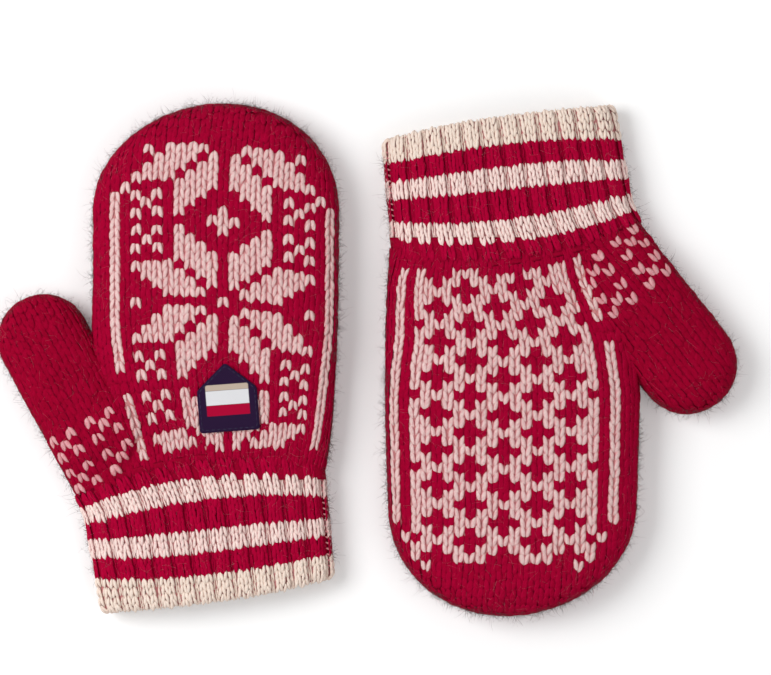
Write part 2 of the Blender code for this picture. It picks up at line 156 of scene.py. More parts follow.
class FlatTube:
    """A flattened tube along +Y whose sections are rounded rectangles: a hand, a thumb or a cuff.

    A hand and a thumb also have a length, and a bend where their closed end starts.
    """

    power: ClassVar[float] = 2.6
    drawn_in: ClassVar[dict] = {}

    def inner(self, depth: float) -> "FlatTube":
        """The same form, a depth further in on every side: each size less its share of the depth."""
        sizes = {name: getattr(self, name) - share * depth for name, share in self.drawn_in.items()}
        return replace(self, **sizes)

    def section(self, y: Array) -> Section:
        """Middle X, middle Z, half-width and half-height of the section at each distance along the tube."""
        raise NotImplementedError

    def quarter_table(self, y: Array) -> tuple[Array, Array, Array]:
        """Points of a quarter of each section, from its top to its side, with the distance travelled.

        The quarter is (a sin^(2/p), b cos^(2/p)) of a turn from 0 to 90 degrees.
        """
        _, _, half_width, half_height = self.section(y)
        turn = np.linspace(0.0, math.pi / 2.0, ARC_STEPS)
        across = half_width[..., None] * np.sin(turn) ** (2.0 / self.power)
        up = half_height[..., None] * np.cos(turn).clip(0.0) ** (2.0 / self.power)
        steps = np.hypot(np.diff(across), np.diff(up))
        travelled = np.concatenate([np.zeros_like(across[..., :1]), np.cumsum(steps, axis=-1)], axis=-1)
        return across, up, travelled

    def quarter(self, y: Array) -> Array:
        """Distance round the section from its top to its side."""
        return self.quarter_table(y)[2][..., -1]

    def point(self, y: Array, s: Array, off: Array | float = 0.0) -> Array:
        """Points of the tube at distances along it and round it.

        Args:
            y: Distances along the tube.
            s: Distances round the section, from the top's middle towards +X.
            off: Distance that the points stand off the tube's face.

        Returns:
            Points with a last axis of X, Y and Z. The distance round is looked up in the quarter's table and
            mirrored into the other three quarters.
        """
        y, s = np.broadcast_arrays(np.asarray(y, float), np.asarray(s, float))
        middle_x, middle_z, half_width, half_height = self.section(y)
        across, up, travelled = self.quarter_table(y)
        quarter = travelled[..., -1]
        round_trip = np.mod(s + 2.0 * quarter, 4.0 * quarter) - 2.0 * quarter
        distance = np.abs(round_trip)
        above = distance <= quarter
        distance = np.where(above, distance, 2.0 * quarter - distance)
        k = np.clip((travelled < distance[..., None]).sum(-1) - 1, 0, ARC_STEPS - 2)[..., None]
        start = np.take_along_axis(travelled, k, -1)
        share = (distance[..., None] - start) / (np.take_along_axis(travelled, k + 1, -1) - start + TINY)
        low, high = ([np.take_along_axis(table, at, -1) for table in (across, up)] for at in (k, k + 1))
        x, z = ((a * (1.0 - share) + b * share)[..., 0] for a, b in zip(low, high))
        x, z = x * np.sign(round_trip), z * np.where(above, 1.0, -1.0)
        steepness = self.power - 1.0
        out_x = np.sign(x) * (np.abs(x) / half_width) ** steepness / half_width
        out_z = np.sign(z) * (np.abs(z) / half_height) ** steepness / half_height
        size = np.hypot(out_x, out_z) + TINY
        x, z = x + off * out_x / size, z + off * out_z / size
        return np.stack([middle_x + x, y, middle_z + z], axis=-1)

    def along_face(self, walked: Array) -> tuple[Array, float]:
        """Distance along the tube after a walk over the middle of its face, level up to the bend.

        Args:
            walked: Distance walked from the origin.

        Returns:
            The distance along the tube, and the whole length of the walk. Past the bend the walk adds up the
            steps of the outline of half-heights.
        """
        start, end = self.bend, self.length - TIP_GAP
        fine = start + (end - start) * np.sin(np.linspace(0.0, math.pi / 2.0, FACE_STEPS))
        height = self.section(fine)[3]
        steps = np.hypot(np.diff(fine), np.diff(height))
        walk = start + np.concatenate([[0.0], np.cumsum(steps)])
        return np.where(walked < start, walked, np.interp(walked, walk, fine)), float(walk[-1])

    def over_end(self, base: Array, y: Array) -> tuple[Array, Array]:
        """Where wales run over the closed end: straight on, and cut off at the rim.

        Args:
            base: Distance of each wale round the section at the bend.
            y: Distance along the tube.

        Returns:
            The distance round at y, and the distance left to the rim there, which is far before the bend.
        """
        full = self.quarter(np.full_like(y, self.bend))
        here = self.quarter(np.maximum(y, self.bend))
        wrapped = np.mod(base + 2.0 * full, 4.0 * full) - 2.0 * full
        distance = np.abs(wrapped)
        above = distance <= full
        from_middle = np.where(above, distance, 2.0 * full - distance)
        arc = np.sign(wrapped) * np.where(above, from_middle, 2.0 * here - from_middle)
        return np.where(y > self.bend, arc, base), np.where(y > self.bend, here - from_middle, FAR)

    def top(self, x: Array, y: Array) -> Array:
        """Height of the tube's upper face over points in X and Y, falling steeply away outside it."""
        middle_x, middle_z, half_width, half_height = self.section(y)
        share = np.abs(x - middle_x) / half_width
        inside = half_height * (1.0 - np.minimum(share, 1.0) ** self.power) ** (1.0 / self.power)
        return middle_z + inside - 2.0 * half_width * np.maximum(share - 1.0, 0.0)


@dataclass(frozen=True)
class HandForm(FlatTube):
    """The outer face of a mitten's hand, from the wrist to the fingertips, and how its pattern lies.

    By the wrist the pattern's middle is shifted away from the thumb. Its rows have a slope, and a bow per
    square millimetre.
    """

    wrist_width: float = 101.0
    wrist_thickness: float = 20.0
    knuckle_width: float = 98.6
    thickness: float = 26.0
    knuckle: float = 102.0
    dome: float = 44.0
    pattern_shift: float = 1.9
    row_slope: float = -0.076
    row_bow: float = 0.0023
    rounding: float = 14.0
    draw_in: float = 0.6
    wrist_lean: float = 0.0
    knuckle_lean: float = 6.4
    tip_lean: float = 3.0
    full_share: float = 0.625
    rest_flat: float = 0.5
    wrist_tilt: float = math.radians(7.5)

    drawn_in: ClassVar[dict] = {
        **dict.fromkeys(("wrist_width", "wrist_thickness", "knuckle_width", "thickness"), 2.0),
        **dict.fromkeys(("dome", "rounding", "rest_flat"), 1.0),
    }

    @property
    def length(self) -> float:
        """Distance from the wrist to the tip."""
        return self.knuckle + self.dome

    @property
    def bend(self) -> float:
        """Where the closed end starts."""
        return self.knuckle

    def section(self, y: Array) -> Section:
        """Sections that thicken from the wrist to the palm and close in an oval dome past the knuckles."""
        t = np.clip(y / self.knuckle, 0.0, 1.0)
        rise = smooth_step(t / self.full_share)
        over = np.clip((y - self.knuckle) / self.dome, 0.0, LAST_SHARE)
        left = np.minimum(1.0, self.dome * (1.0 - over) / self.rounding)
        width = self.wrist_width + (self.knuckle_width - self.wrist_width) * t
        thickness = self.wrist_thickness + (self.thickness - self.wrist_thickness) * rise
        half_width = (width / 2.0 - self.draw_in * np.sin(math.pi * t)) * np.sqrt(1.0 - over**2)
        half_height = thickness / 2.0 * np.sqrt(1.0 - (1.0 - left) ** 2)
        to_wrist = (1.0 - t) ** 3
        middle_x = self.wrist_lean * to_wrist + self.knuckle_lean * (1.0 - to_wrist) + self.tip_lean * over**2
        middle_x = middle_x + np.maximum(-y, 0.0) * math.tan(self.wrist_tilt)
        return middle_x, thickness / 2.0 - self.rest_flat, half_width, half_height


@dataclass(frozen=True)
class ThumbForm(FlatTube):
    """The outer face of the thumb and its gusset, a flattened pill along the thumb's own axis."""

    angle: float
    width: float
    reach: float
    root_x: float = -50.8
    root_y: float = 30.7
    middle: float = -1.1
    thickness: float = 22.0
    gusset: float = 42.0
    wrist_thickness: float = 19.4
    thinning_start: float = -16.0
    thinning_end: float = -40.0
    point_start: float = -24.0
    point_slope: float = 1.2
    rest_flat: float = 0.5

    drawn_in: ClassVar[dict] = {"width": 2.0, "thickness": 2.0, "wrist_thickness": 2.0, "rest_flat": 1.0}

    @property
    def length(self) -> float:
        """Distance from the root to the tip."""
        return self.reach + self.width / 2.0

    @property
    def bend(self) -> float:
        """Where the closed end starts."""
        return self.reach

    def thickness_at(self, along: Array) -> Array:
        """Thickness along the thumb, which falls to the wrist's over the gusset."""
        share = smooth_step((along - self.thinning_start) / (self.thinning_end - self.thinning_start))
        return self.thickness + (self.wrist_thickness - self.thickness) * share

    def inner_limit(self, along: Array) -> Array:
        """Distance across the thumb where the gusset ends; it runs to a point at the wrist."""
        return self.middle + self.width / 2.0 - self.point_slope * np.maximum(self.point_start - along, 0.0)

    def section(self, y: Array) -> Section:
        """Even sections up to the middle of the tip, then a round end."""
        over = np.clip((np.asarray(y, float) - self.reach) / (self.width / 2.0), 0.0, LAST_SHARE)
        half_width = self.width / 2.0 * np.sqrt(1.0 - over**2)
        thickness = self.thickness_at(np.asarray(y, float))
        half_height = thickness / 2.0 * (1.0 - over**self.power) ** (1.0 / self.power)
        return np.full_like(over, self.middle), thickness / 2.0 - self.rest_flat, half_width, half_height

    def to_mitten(self, points: Array) -> Array:
        """Points of the thumb's own frame, turned by its angle and moved to its root."""
        return turned(points, self.angle) + np.array([self.root_x, self.root_y, 0.0])

    def from_mitten(self, x: Array, y: Array) -> tuple[Array, Array]:
        """Distances across and along the thumb of points in the mitten's frame."""
        own = turned(np.stack([x - self.root_x, y - self.root_y], -1), -self.angle)
        return own[..., 0], own[..., 1]

    def top_at(self, x: Array, y: Array) -> Array:
        """Height of the pill's upper face over points in the mitten's frame, by distance from its axis."""
        across, along = self.from_mitten(x, y)
        past = along - np.clip(along, -self.gusset, self.reach)
        share = np.hypot(across - self.middle, past) / (self.width / 2.0)
        half_height = self.thickness_at(along) / 2.0
        inside = half_height * (1.0 - np.minimum(share, 1.0) ** self.power) ** (1.0 / self.power)
        outside = self.width * np.maximum(share - 1.0, 0.0)
        outside = outside + 2.0 * np.maximum(across - self.inner_limit(along), 0.0)
        return half_height - self.rest_flat + inside - outside


@dataclass(frozen=True)
class CuffForm(FlatTube):
    """The cuff's mean face, in its own frame: the wrist at the origin and -Y to the open end."""

    wrist_width: float = 97.0
    wrist_thickness: float = 20.0
    end_width: float = 92.8
    end_thickness: float = 17.0
    length: float = 52.0
    shift: float = 0.3
    flare: float = 0.42
    flare_end: float = 12.0
    flare_round: float = 3.0
    rest_flat: float = 0.5
    tilt: float = math.radians(7.5)
    start: float = -2.1
    thinnest: float = 1.5
    join_reach: float = 15.0
    bow_levels: tuple = (0.0, 12.0, 24.0, 34.0, 43.0, 53.0)
    bow_thumb_side: tuple = (5.8, 3.6, -1.6, -3.6, -4.4, -1.0)
    bow_far_side: tuple = (7.6, 5.0, 2.4, -0.8, -1.2, -3.4)
    bow_inset: float = 2.0
    bow_most: float = 1.3
    first_share: float = -0.2
    last_share: float = 1.1

    def section(self, y: Array) -> Section:
        """Sections that narrow evenly to the open end, and flare by the wrist on the thumb's side."""
        y = np.asarray(y, float)
        share = np.clip(-y / self.length, self.first_share, self.last_share)
        short = self.flare_end + y
        flare = self.flare * (short + np.hypot(short, self.flare_round)) / 2.0
        half_width = (self.wrist_width + (self.end_width - self.wrist_width) * share + flare) / 2.0
        half_height = (self.wrist_thickness + (self.end_thickness - self.wrist_thickness) * share) / 2.0
        return self.shift - flare / 2.0, half_height - self.rest_flat, half_width, half_height

    def bow(self, level: Array, aside: Array) -> Array:
        """How far the cuff's rows run towards the open end at its sides, by the square of the way out."""
        away = (aside - self.shift) / (self.wrist_width / 2.0 - self.bow_inset)
        thumb_side = np.interp(level, self.bow_levels, self.bow_thumb_side)
        far_side = np.interp(level, self.bow_levels, self.bow_far_side)
        return np.where(away < 0.0, thumb_side, far_side) * np.minimum(away * away, self.bow_most)

    def to_mitten(self, points: Array) -> Array:
        """Points of the cuff's own frame, turned by its tilt about the wrist."""
        return turned(points, self.tilt)

    def from_mitten(self, points: Array) -> tuple[Array, Array]:
        """X and Y in the cuff's own frame of points in the mitten's."""
        own = turned(points, -self.tilt)
        return own[..., 0], own[..., 1]

    def heights(self, points: Array) -> tuple[Array, Array]:
        """Middle Z and half-height of the cuff over points of the mitten's frame, by X and Y alone."""
        across, along = self.from_mitten(points)
        middle = self.section(along)[1]
        return middle, np.maximum(self.top(across, along) - middle, self.thinnest)

    def past_join(self, points: Array) -> Array:
        """Distance of points past the line of the hand and cuff, which bows as the cuff's rows do."""
        across, along = self.from_mitten(points)
        return -along - self.start - self.bow(np.zeros_like(across), across)

    def nearness(self, points: Array) -> Array:
        """How near points of the hand and gusset are to the join: 0 at the reach from it, 1 on it."""
        return smooth_step(1.0 + self.past_join(points) / self.join_reach)


@dataclass(frozen=True)
class LabelRoom:
    """The room that the label takes under the left mitten."""

    middle_x: float = 11.3
    middle_y: float = 28.1
    half_width: float = 12.6
    half_length: float = 14.0
    top: float = 0.95

    def covers(self, x: Array, y: Array) -> Array:
        """Whether points lie over the label."""
        return (np.abs(x - self.middle_x) < self.half_width) & (np.abs(y - self.middle_y) < self.half_length)


@dataclass(frozen=True)
class Place:
    """One mitten of the pair: its forms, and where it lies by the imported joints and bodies."""

    side: Side
    thumb: ThumbForm
    hand: HandForm = HandForm()
    cuff: CuffForm = CuffForm()
    label: LabelRoom = LabelRoom()
    fillet: float = 1.0
    gusset_fillet: float = 9.0
    fillet_start: float = 2.0
    fillet_growth: float = 22.0

    @property
    def turned(self) -> bool:
        """The left mitten lies turned end for end, palm up."""
        return self.side is Side.LEFT

    @property
    def body(self) -> str:
        """The CAD body of the hand and cuff."""
        return self.side.value + "_mitten_body"

    @property
    def thumb_body(self) -> str:
        """The CAD body of the thumb."""
        return self.side.value + "_thumb_body"

    def name(self, piece: str) -> str:
        """A piece's name with its side."""
        return self.side.value + "_" + piece

    def settled(self, points: Array) -> Array:
        """Points of the knit pressed up from the table, or from the left mitten's own label under it."""
        x, y, z = points.T
        floor = np.where(self.label.covers(x, y) & self.turned, self.label.top, TABLE_CLEAR)
        return np.stack([x, y, settle(z, floor, KNIT_GIVE)], -1)

    def raised(self, points: Array, beside: Array, upper: Array) -> Array:
        """Points of an upper face, raised in a fillet where another face stands beside them.

        The fillet grows from the thumb's root along the gusset, and fades out towards the cuff.

        Args:
            points: Points in the mitten's frame.
            beside: Height of the other face at each point.
            upper: Whether each point is on the upper face.

        Returns:
            The raised points.
        """
        x, y, z = np.moveaxis(points, -1, 0)
        down = self.fillet_start - self.thumb.from_mitten(x, y)[1]
        reach = self.fillet + self.gusset_fillet * smooth_step(down / self.fillet_growth)
        lift = soft_top(z, np.minimum(beside, z), reach) - z
        return np.stack([x, y, z + lift * (1.0 - self.cuff.nearness(points)) * upper], -1)

    def hinge(self) -> Array:
        """The thumb's hinge in the shared frame, in millimetres."""
        joint = next(j for j in frame["joints"] if j["name"] == self.name("thumb_swing"))
        return np.array(joint["pos_m"]) / MM

    def to_world(self, points: Array) -> Array:
        """Points in the shared frame, in metres: turned end for end or not, then set by the thumb's hinge."""
        turn = -1.0 if self.turned else 1.0
        spin = np.array([turn, turn, 1.0])
        root = np.array([self.thumb.root_x, self.thumb.root_y, 0.0])
        return ((points - root) * spin + self.hinge()) * MM


@dataclass
class Stitches:
    """A set of knitted loops: where each lies, how it is turned and which yarn it is made of."""

    place: Array
    across: Array
    along: Array
    out: Array
    width: Array
    height: Array
    yarn: Array

    def kept(self, keep: Array) -> "Stitches":
        """Only the loops that a mask or a list of numbers keeps."""
        return Stitches(*(getattr(self, name)[keep] for name in self.__dataclass_fields__))

    @staticmethod
    def joined(sets: list["Stitches"]) -> "Stitches":
        """Several sets as one."""
        names = Stitches.__dataclass_fields__
        return Stitches(*(np.concatenate([getattr(part, name) for part in sets]) for name in names))

    @staticmethod
    def on_surface(
        place: Array, ahead: Array, aside: Array, width: Array, height: float, yarn: Array
    ) -> "Stitches":
        """Loops on a surface known by nearby points.

        Args:
            place: Middle of each loop.
            ahead, aside: Points a little further along its wale and across it.
            width, height: Width of each wale and height of every row.
            yarn: Yarn of each loop.

        Returns:
            Loops whose outward direction is across times along.
        """
        along = unit(ahead - place)
        across = aside - place
        across = unit(across - along * (across * along).sum(-1, keepdims=True))
        heights = np.full(len(place), height)
        return Stitches(place, across, along, np.cross(across, along), width, heights, yarn)


@dataclass(frozen=True)
class LoopShape:
    """The two legs of a knitted loop, each a plump tapered strand, leaning together at the apex."""

    rings: int = 5
    sides: int = 6
    foot: float = 0.38
    apex: float = 0.12
    below: float = -0.76
    above: float = 0.70
    girth: float = 0.25
    depth: float = 0.62
    arch: float = 0.62
    arch_start: float = 0.10
    arch_span: float = 0.82
    sunk: float = 0.52
    swell_start: float = 0.06
    swell_span: float = 0.88
    swell_power: float = 0.55
    twist: float = 4.0
    stray_across: float = 0.16
    stray_along: float = 0.24
    unevenness: float = 0.08

    def legs(self, loops: Stitches, rng: np.random.Generator) -> tuple[Array, Array, Array, Array]:
        """Points of every leg.

        Along a leg, t from 0 to 1, the middle line goes from the foot to the apex and arches outwards by the
        sine of a part of half a turn. The girth swells as a power of such a sine.

        Args:
            loops: The loops to build.
            rng: Source of the small unevenness of handwork.

        Returns:
            Points with axes leg, ring, side and XYZ, their strand coordinates, their leg's tint, and how near
            they are to its edge: 0 on its upper face and 1 at its sides.
        """
        count = len(loops.place)
        t = np.linspace(0.0, 1.0, self.rings)
        turn = np.arange(self.sides) * 2.0 * math.pi / self.sides
        hand = np.repeat([-1.0, 1.0], count)[:, None]
        pair = Stitches.joined([loops, loops])
        width, height = pair.width[:, None], pair.height[:, None]
        across, along, out = pair.across[:, None], pair.along[:, None], pair.out[:, None]
        wobble = rng.normal(0.0, 1.0, (2 * count, 4, 1))
        inwards, upwards = self.apex - self.foot, self.above - self.below
        u = hand * (self.foot + inwards * t) * width + self.stray_across * wobble[:, 0]
        v = (self.below + upwards * t) * height + self.stray_along * wobble[:, 1]
        lift = self.arch * np.sin(math.pi * (self.arch_start + self.arch_span * t)) - self.sunk
        lift = lift + self.unevenness * wobble[:, 2]
        swell = np.sin(math.pi * (self.swell_start + self.swell_span * t)) ** self.swell_power
        swell = swell * (1.0 + self.unevenness * wobble[:, 3])
        middle = u[..., None] * across + v[..., None] * along + lift[..., None] * out + pair.place[:, None]
        lean = np.arctan2(inwards * width, upwards * height)[..., None] * hand[..., None]
        side = np.cos(lean) * across - np.sin(lean) * along
        round_across = (self.girth * width * swell)[..., None] * np.cos(turn)
        round_out = (self.depth * swell)[..., None] * np.sin(turn)
        points = middle[:, :, None] + round_across[..., None] * side[:, :, None]
        points = points + round_out[..., None] * out[:, None]
        spin = turn + self.twist * t[:, None]
        start = rng.uniform(0.0, STRAND_ROOM, (2 * count, 1, 1, 3))
        length = np.broadcast_to(t[:, None], spin.shape)
        strand = np.stack([np.cos(spin), np.sin(spin), length], axis=-1) + start
        tint = np.broadcast_to(rng.uniform(0.0, 1.0, (2 * count, 1, 1)), points.shape[:3])
        edge = np.broadcast_to(np.clip(1.0 - np.sin(turn) / np.sin(turn).max(), 0.0, 1.0), points.shape[:3])
        return points, strand, tint, edge


LOOPS = {
    Yarn.RED: LoopShape(foot=0.34, below=-0.82, above=0.78, girth=0.29, depth=0.34, arch=0.20, sunk=0.22),
    Yarn.CREAM: LoopShape(),
    Yarn.ECRU: LoopShape(),
}


def grid_faces(rings: int, around: int) -> Array:
    """Quads of a grid of points that closes round its second axis.

    They face outwards where the rings run round to the left, seen from the last one's end.
    """
    ring, k = np.meshgrid(np.arange(rings - 1), np.arange(around), indexing="ij")
    here, beside = ring * around + k, ring * around + (k + 1) % around
    return np.stack([here, beside, beside + around, here + around], axis=-1).reshape(-1, 4)


def end_faces(rings: int, around: int) -> Array:
    """Fans of triangles that close both ends of a grid round two poles, which follow its last ring."""
    k = np.arange(around)
    last = (rings - 1) * around
    first = np.stack([np.full(around, rings * around), (k + 1) % around, k], axis=-1)
    end = np.stack([np.full(around, rings * around + 1), last + k, last + (k + 1) % around], axis=-1)
    return np.concatenate([first, end])


def tube_faces(rings: int, sides: int) -> Array:
    """Triangles of one closed strand whose rings run round to the right: its wall, then its ends."""
    wall = grid_faces(rings, sides)[:, [0, 2, 1, 0, 3, 2]].reshape(-1, 3)
    return np.concatenate([wall, end_faces(rings, sides)[:, [0, 2, 1]]])


def strand_mesh(points: Array, *values: Array) -> tuple[Array, Array, list[Array]]:
    """Many strands as one set of points and triangles.

    Args:
        points: Points with axes strand, ring, side and XYZ.
        values: Further values at those points, with one more axis or none.

    Returns:
        All points, all triangles, and the values at each point. A pole is the mean of its end ring.
    """
    count, rings, sides, _ = points.shape
    per_strand = rings * sides + 2

    def flat(data: Array) -> Array:
        """Values strand by strand, each with its poles."""
        data = data.reshape(count, rings, sides, -1)
        poles = np.stack([data[:, 0].mean(1), data[:, -1].mean(1)], axis=1)
        joined = np.concatenate([data.reshape(count, rings * sides, -1), poles], axis=1)
        return joined.reshape(count * per_strand, -1)

    faces = tube_faces(rings, sides)[None] + (np.arange(count) * per_strand)[:, None, None]
    return flat(points), faces.reshape(-1, 3), [flat(value) for value in values]


def closed_grid(rows: Array) -> tuple[Array, list]:
    """Points and faces of a closed body from rings of points; the pole at each end is its end ring's mean."""
    count, around, _ = rows.shape
    points = np.concatenate([rows.reshape(-1, 3), rows[:1].mean(1), rows[-1:].mean(1)])
    return points, grid_faces(count, around).tolist() + end_faces(count, around).tolist()


@dataclass(frozen=True)
class Bag:
    """A bag of two walls inside a form, closed at its tip: the ground of a hand or thumb, or its lining."""

    form: FlatTube
    outer_depth: float
    inner_depth: float
    around: int
    ring_step: float = 1.4
    tip_rings: int = 26
    tip_turn: tuple = (0.04, 1.55)

    @property
    def share(self) -> Array:
        """The places round a ring, from -0.5 to 0.5 of the way round."""
        return np.linspace(-0.5, 0.5, self.around + 1)[:-1]

    def walls(self, start: Array | float) -> tuple[Array, Array, Array]:
        """The inner wall from its tip to the mouth and the outer one back to the tip.

        Up to the bend the rings are evenly spaced, and from there they follow the sine of even steps.

        Args:
            start: Where the mouth lies along the form, once or for each place round it.

        Returns:
            Points with axes ring, place round and XYZ, with the distance along and round of each.
        """
        start = np.broadcast_to(start, self.share.shape)
        bend = self.form.bend
        rise = np.linspace(0.0, 1.0, 1 + round((bend - start.min()) / self.ring_step))[:, None]
        walls = []
        for form in (self.form.inner(self.inner_depth), self.form.inner(self.outer_depth)):
            tip = bend + (form.length - bend) * np.sin(np.linspace(*self.tip_turn, self.tip_rings))
            level = np.concatenate([start + rise * (bend - start), tip[:, None] + 0.0 * start])
            arc = 4.0 * form.quarter(level) * self.share
            walls.append((form.point(level, arc), level, arc))
        inside, outside = walls
        return tuple(np.concatenate([a[::-1], b]) for a, b in zip(inside, outside))


def new_piece(name: str, points: Array, faces: Array | list, material: Material, **values: Array) -> Piece:
    """A mesh object at the origin.

    Args:
        name: Name of the piece.
        points: Points in the shared frame, in metres.
        faces: Corner numbers of each face.
        material: Its finish.
        values: Attributes at each point, by name, with one number or three.

    Returns:
        The linked object, shaded smooth.
    """
    mesh = bpy.data.meshes.new(name)
    faces = faces.tolist() if isinstance(faces, np.ndarray) else faces
    mesh.from_pydata(np.asarray(points, float), [], faces)
    for key, data in values.items():
        data = np.asarray(data, np.float32).reshape(len(points), -1)
        kind, member = ("FLOAT_VECTOR", "vector") if data.shape[1] == 3 else ("FLOAT", "value")
        mesh.attributes.new(key, kind, "POINT").data.foreach_set(member, data.ravel())
    mesh.materials.append(material)
    mesh.shade_smooth()
    mesh.update()
    piece = bpy.data.objects.new(name, mesh)
    bpy.context.scene.collection.objects.link(piece)
    log.info("%s: %d points, %d faces", name, len(mesh.vertices), len(mesh.polygons))
    return piece


def fit(piece: Piece, node: str, body: str) -> None:
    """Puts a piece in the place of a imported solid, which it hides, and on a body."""
    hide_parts(node)
    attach(piece, body)


@dataclass(frozen=True)
class Chart:
    """The knitted patterns: which loops of the hand are cream, by wale and row from the pattern's middle."""

    star_rows: int = 18
    field_rows: int = 17
    stripe: int = 10
    stripe_top: int = 12

    def back(self, wale: Array, row: Array) -> Array:
        """Cream loops of the back: eight-petalled stars one above the other, with ticks and a side stripe.

        A petal is the loops whose row is 1 to 4 from the star's middle and whose wale is 1 to 4 further out,
        or the same with wale and row changed round.
        """
        k = np.abs(wale)
        half = self.star_rows // 2
        a = np.abs(np.mod(row + half, self.star_rows) - half)
        petals = (a >= 1) & (a <= 4) & (k > a) & (k <= a + 4)
        petals |= (k >= 1) & (k <= 4) & (a > k) & (a <= k + 4)
        points = ((k == 0) & ((a == 0) | (a == 8))) | ((k == 8) & (a == 0)) | ((k <= 1) & (a == 9))
        ticks = ((k == 6) | (k == 8)) & ((a == 6) | (a == 8)) | ((k == 7) & (a == 7))
        field = (petals | points | ticks) & (np.abs(row) <= self.field_rows)
        return field | self.side_stripe(k, row, ((9, 13), (7, 17)))

    def palm(self, wale: Array, row: Array) -> Array:
        """Cream loops of the palm: a cream field with red crosses on the diagonal, and a side stripe."""
        k = np.abs(wale)
        crosses = np.where(row % 2 == 0, np.mod(wale - 3 * (row // 2) + 1, 6) <= 2, np.mod(wale, 3) == 0)
        edge_notch = (k == 8) & (np.mod(row, 8) == 6)
        field = np.where(k == 8, ~edge_notch, ~crosses) & (k <= 8)
        field &= (row >= -self.field_rows) & (row <= self.field_rows - 1)
        return field | self.side_stripe(k, row, ((9, 14), (8, 16), (7, 17)))

    def side_stripe(self, k: Array, row: Array, ends: tuple) -> Array:
        """The stripe along each side, which steps in over the dome."""
        stripe = (k == self.stripe) & (row <= self.stripe_top) & (row >= -self.field_rows - 1)
        for wale, at in ends:
            stripe = stripe | ((k == wale) & (row == at))
        return stripe

    def gusset(self, wale: Array, row: Array) -> Array:
        """Cream loops of the thumb's gusset: small crosses of five, four wales and four rows apart."""
        corner = (np.mod(wale, 2) == 0) & (np.mod(row, 2) == 0) & (np.mod(wale, 4) != 1)
        middle = (np.mod(wale, 4) == 1) & (np.mod(row, 4) == 1)
        return (corner | middle) & (row <= 2) & (row >= -4)


def set_inputs(node: Node, values: dict) -> None:
    """Sets a node's inputs by name; a tuple is a colour."""
    for socket, value in values.items():
        node.inputs[socket].default_value = (*value, 1.0) if isinstance(value, tuple) else value


def new_material(name: str) -> tuple[Material, Tree, Node]:
    """A material with one Principled shader; returns it with its tree and the shader."""
    material = bpy.data.materials.new(name)
    material.use_nodes = True
    return material, material.node_tree, material.node_tree.nodes["Principled BSDF"]


def new_group(name: str, colours: tuple, values: tuple = (), vectors: tuple = ()) -> tuple[Tree, Node, Node]:
    """An empty shader node group that puts out a colour and a height.

    Args:
        name: Name of the group.
        colours, values, vectors: Names of its inputs of each kind.

    Returns:
        The group, its input node and its output node.
    """
    group = bpy.data.node_groups.new(name, "ShaderNodeTree")
    for kind, sockets in (("Vector", vectors), ("Color", colours), ("Float", values)):
        for socket in sockets:
            group.interface.new_socket(socket, in_out="INPUT", socket_type="NodeSocket" + kind)
    for socket, kind in (("Color", "Color"), ("Height", "Float")):
        group.interface.new_socket(socket, in_out="OUTPUT", socket_type="NodeSocket" + kind)
    return group, group.nodes.new("NodeGroupInput"), group.nodes.new("NodeGroupOutput")


def put_out(group: Tree, result: Node, colour: Socket, height: Socket) -> Tree:
    """The group, with its colour and its height linked to its output node."""
    group.links.new(colour, result.inputs["Color"])
    group.links.new(height, result.inputs["Height"])
    return group


def noise(tree: Tree, vector: Socket, scale: float, detail: float) -> Node:
    """A noise texture on a vector."""
    node = tree.nodes.new("ShaderNodeTexNoise")
    set_inputs(node, {"Scale": scale, "Detail": detail})
    tree.links.new(vector, node.inputs["Vector"])
    return node


def mix_colours(tree: Tree, share: Socket, first: Socket, second: Socket | tuple) -> Socket:
    """A colour between two others, by a share; the second is a socket or a colour."""
    node = tree.nodes.new("ShaderNodeMix")
    node.data_type = "RGBA"
    tree.links.new(share, node.inputs["Factor"])
    start, end = (socket for socket in node.inputs if socket.type == "RGBA")
    tree.links.new(first, start)
    if isinstance(second, Socket):
        tree.links.new(second, end)
    else:
        end.default_value = (*second, 1.0)
    return next(socket for socket in node.outputs if socket.type == "RGBA")


def spread(tree: Tree, value: Socket, low: float, high: float, most: float = 1.0) -> Socket:
    """A value mapped from a range to between 0 and a most, and held there."""
    node = tree.nodes.new("ShaderNodeMapRange")
    set_inputs(node, {"From Min": low, "From Max": high, "To Max": most})
    tree.links.new(value, node.inputs["Value"])
    return node.outputs["Result"]


def combine(tree: Tree, operation: str, first: Socket, second: Socket | float = 0.0) -> Socket:
    """Two values joined by a Math operation; the second is a socket or a number."""
    node = tree.nodes.new("ShaderNodeMath")
    node.operation = operation
    tree.links.new(first, node.inputs[0])
    if isinstance(second, Socket):
        tree.links.new(second, node.inputs[1])
    else:
        node.inputs[1].default_value = second
    return node.outputs[0]


@dataclass(frozen=True)
class Surface:
    """How a finish takes the light: its roughness, its shine, and its bump's strength and depth in metres."""

    roughness: float
    shine: float
    strength: float
    depth: float


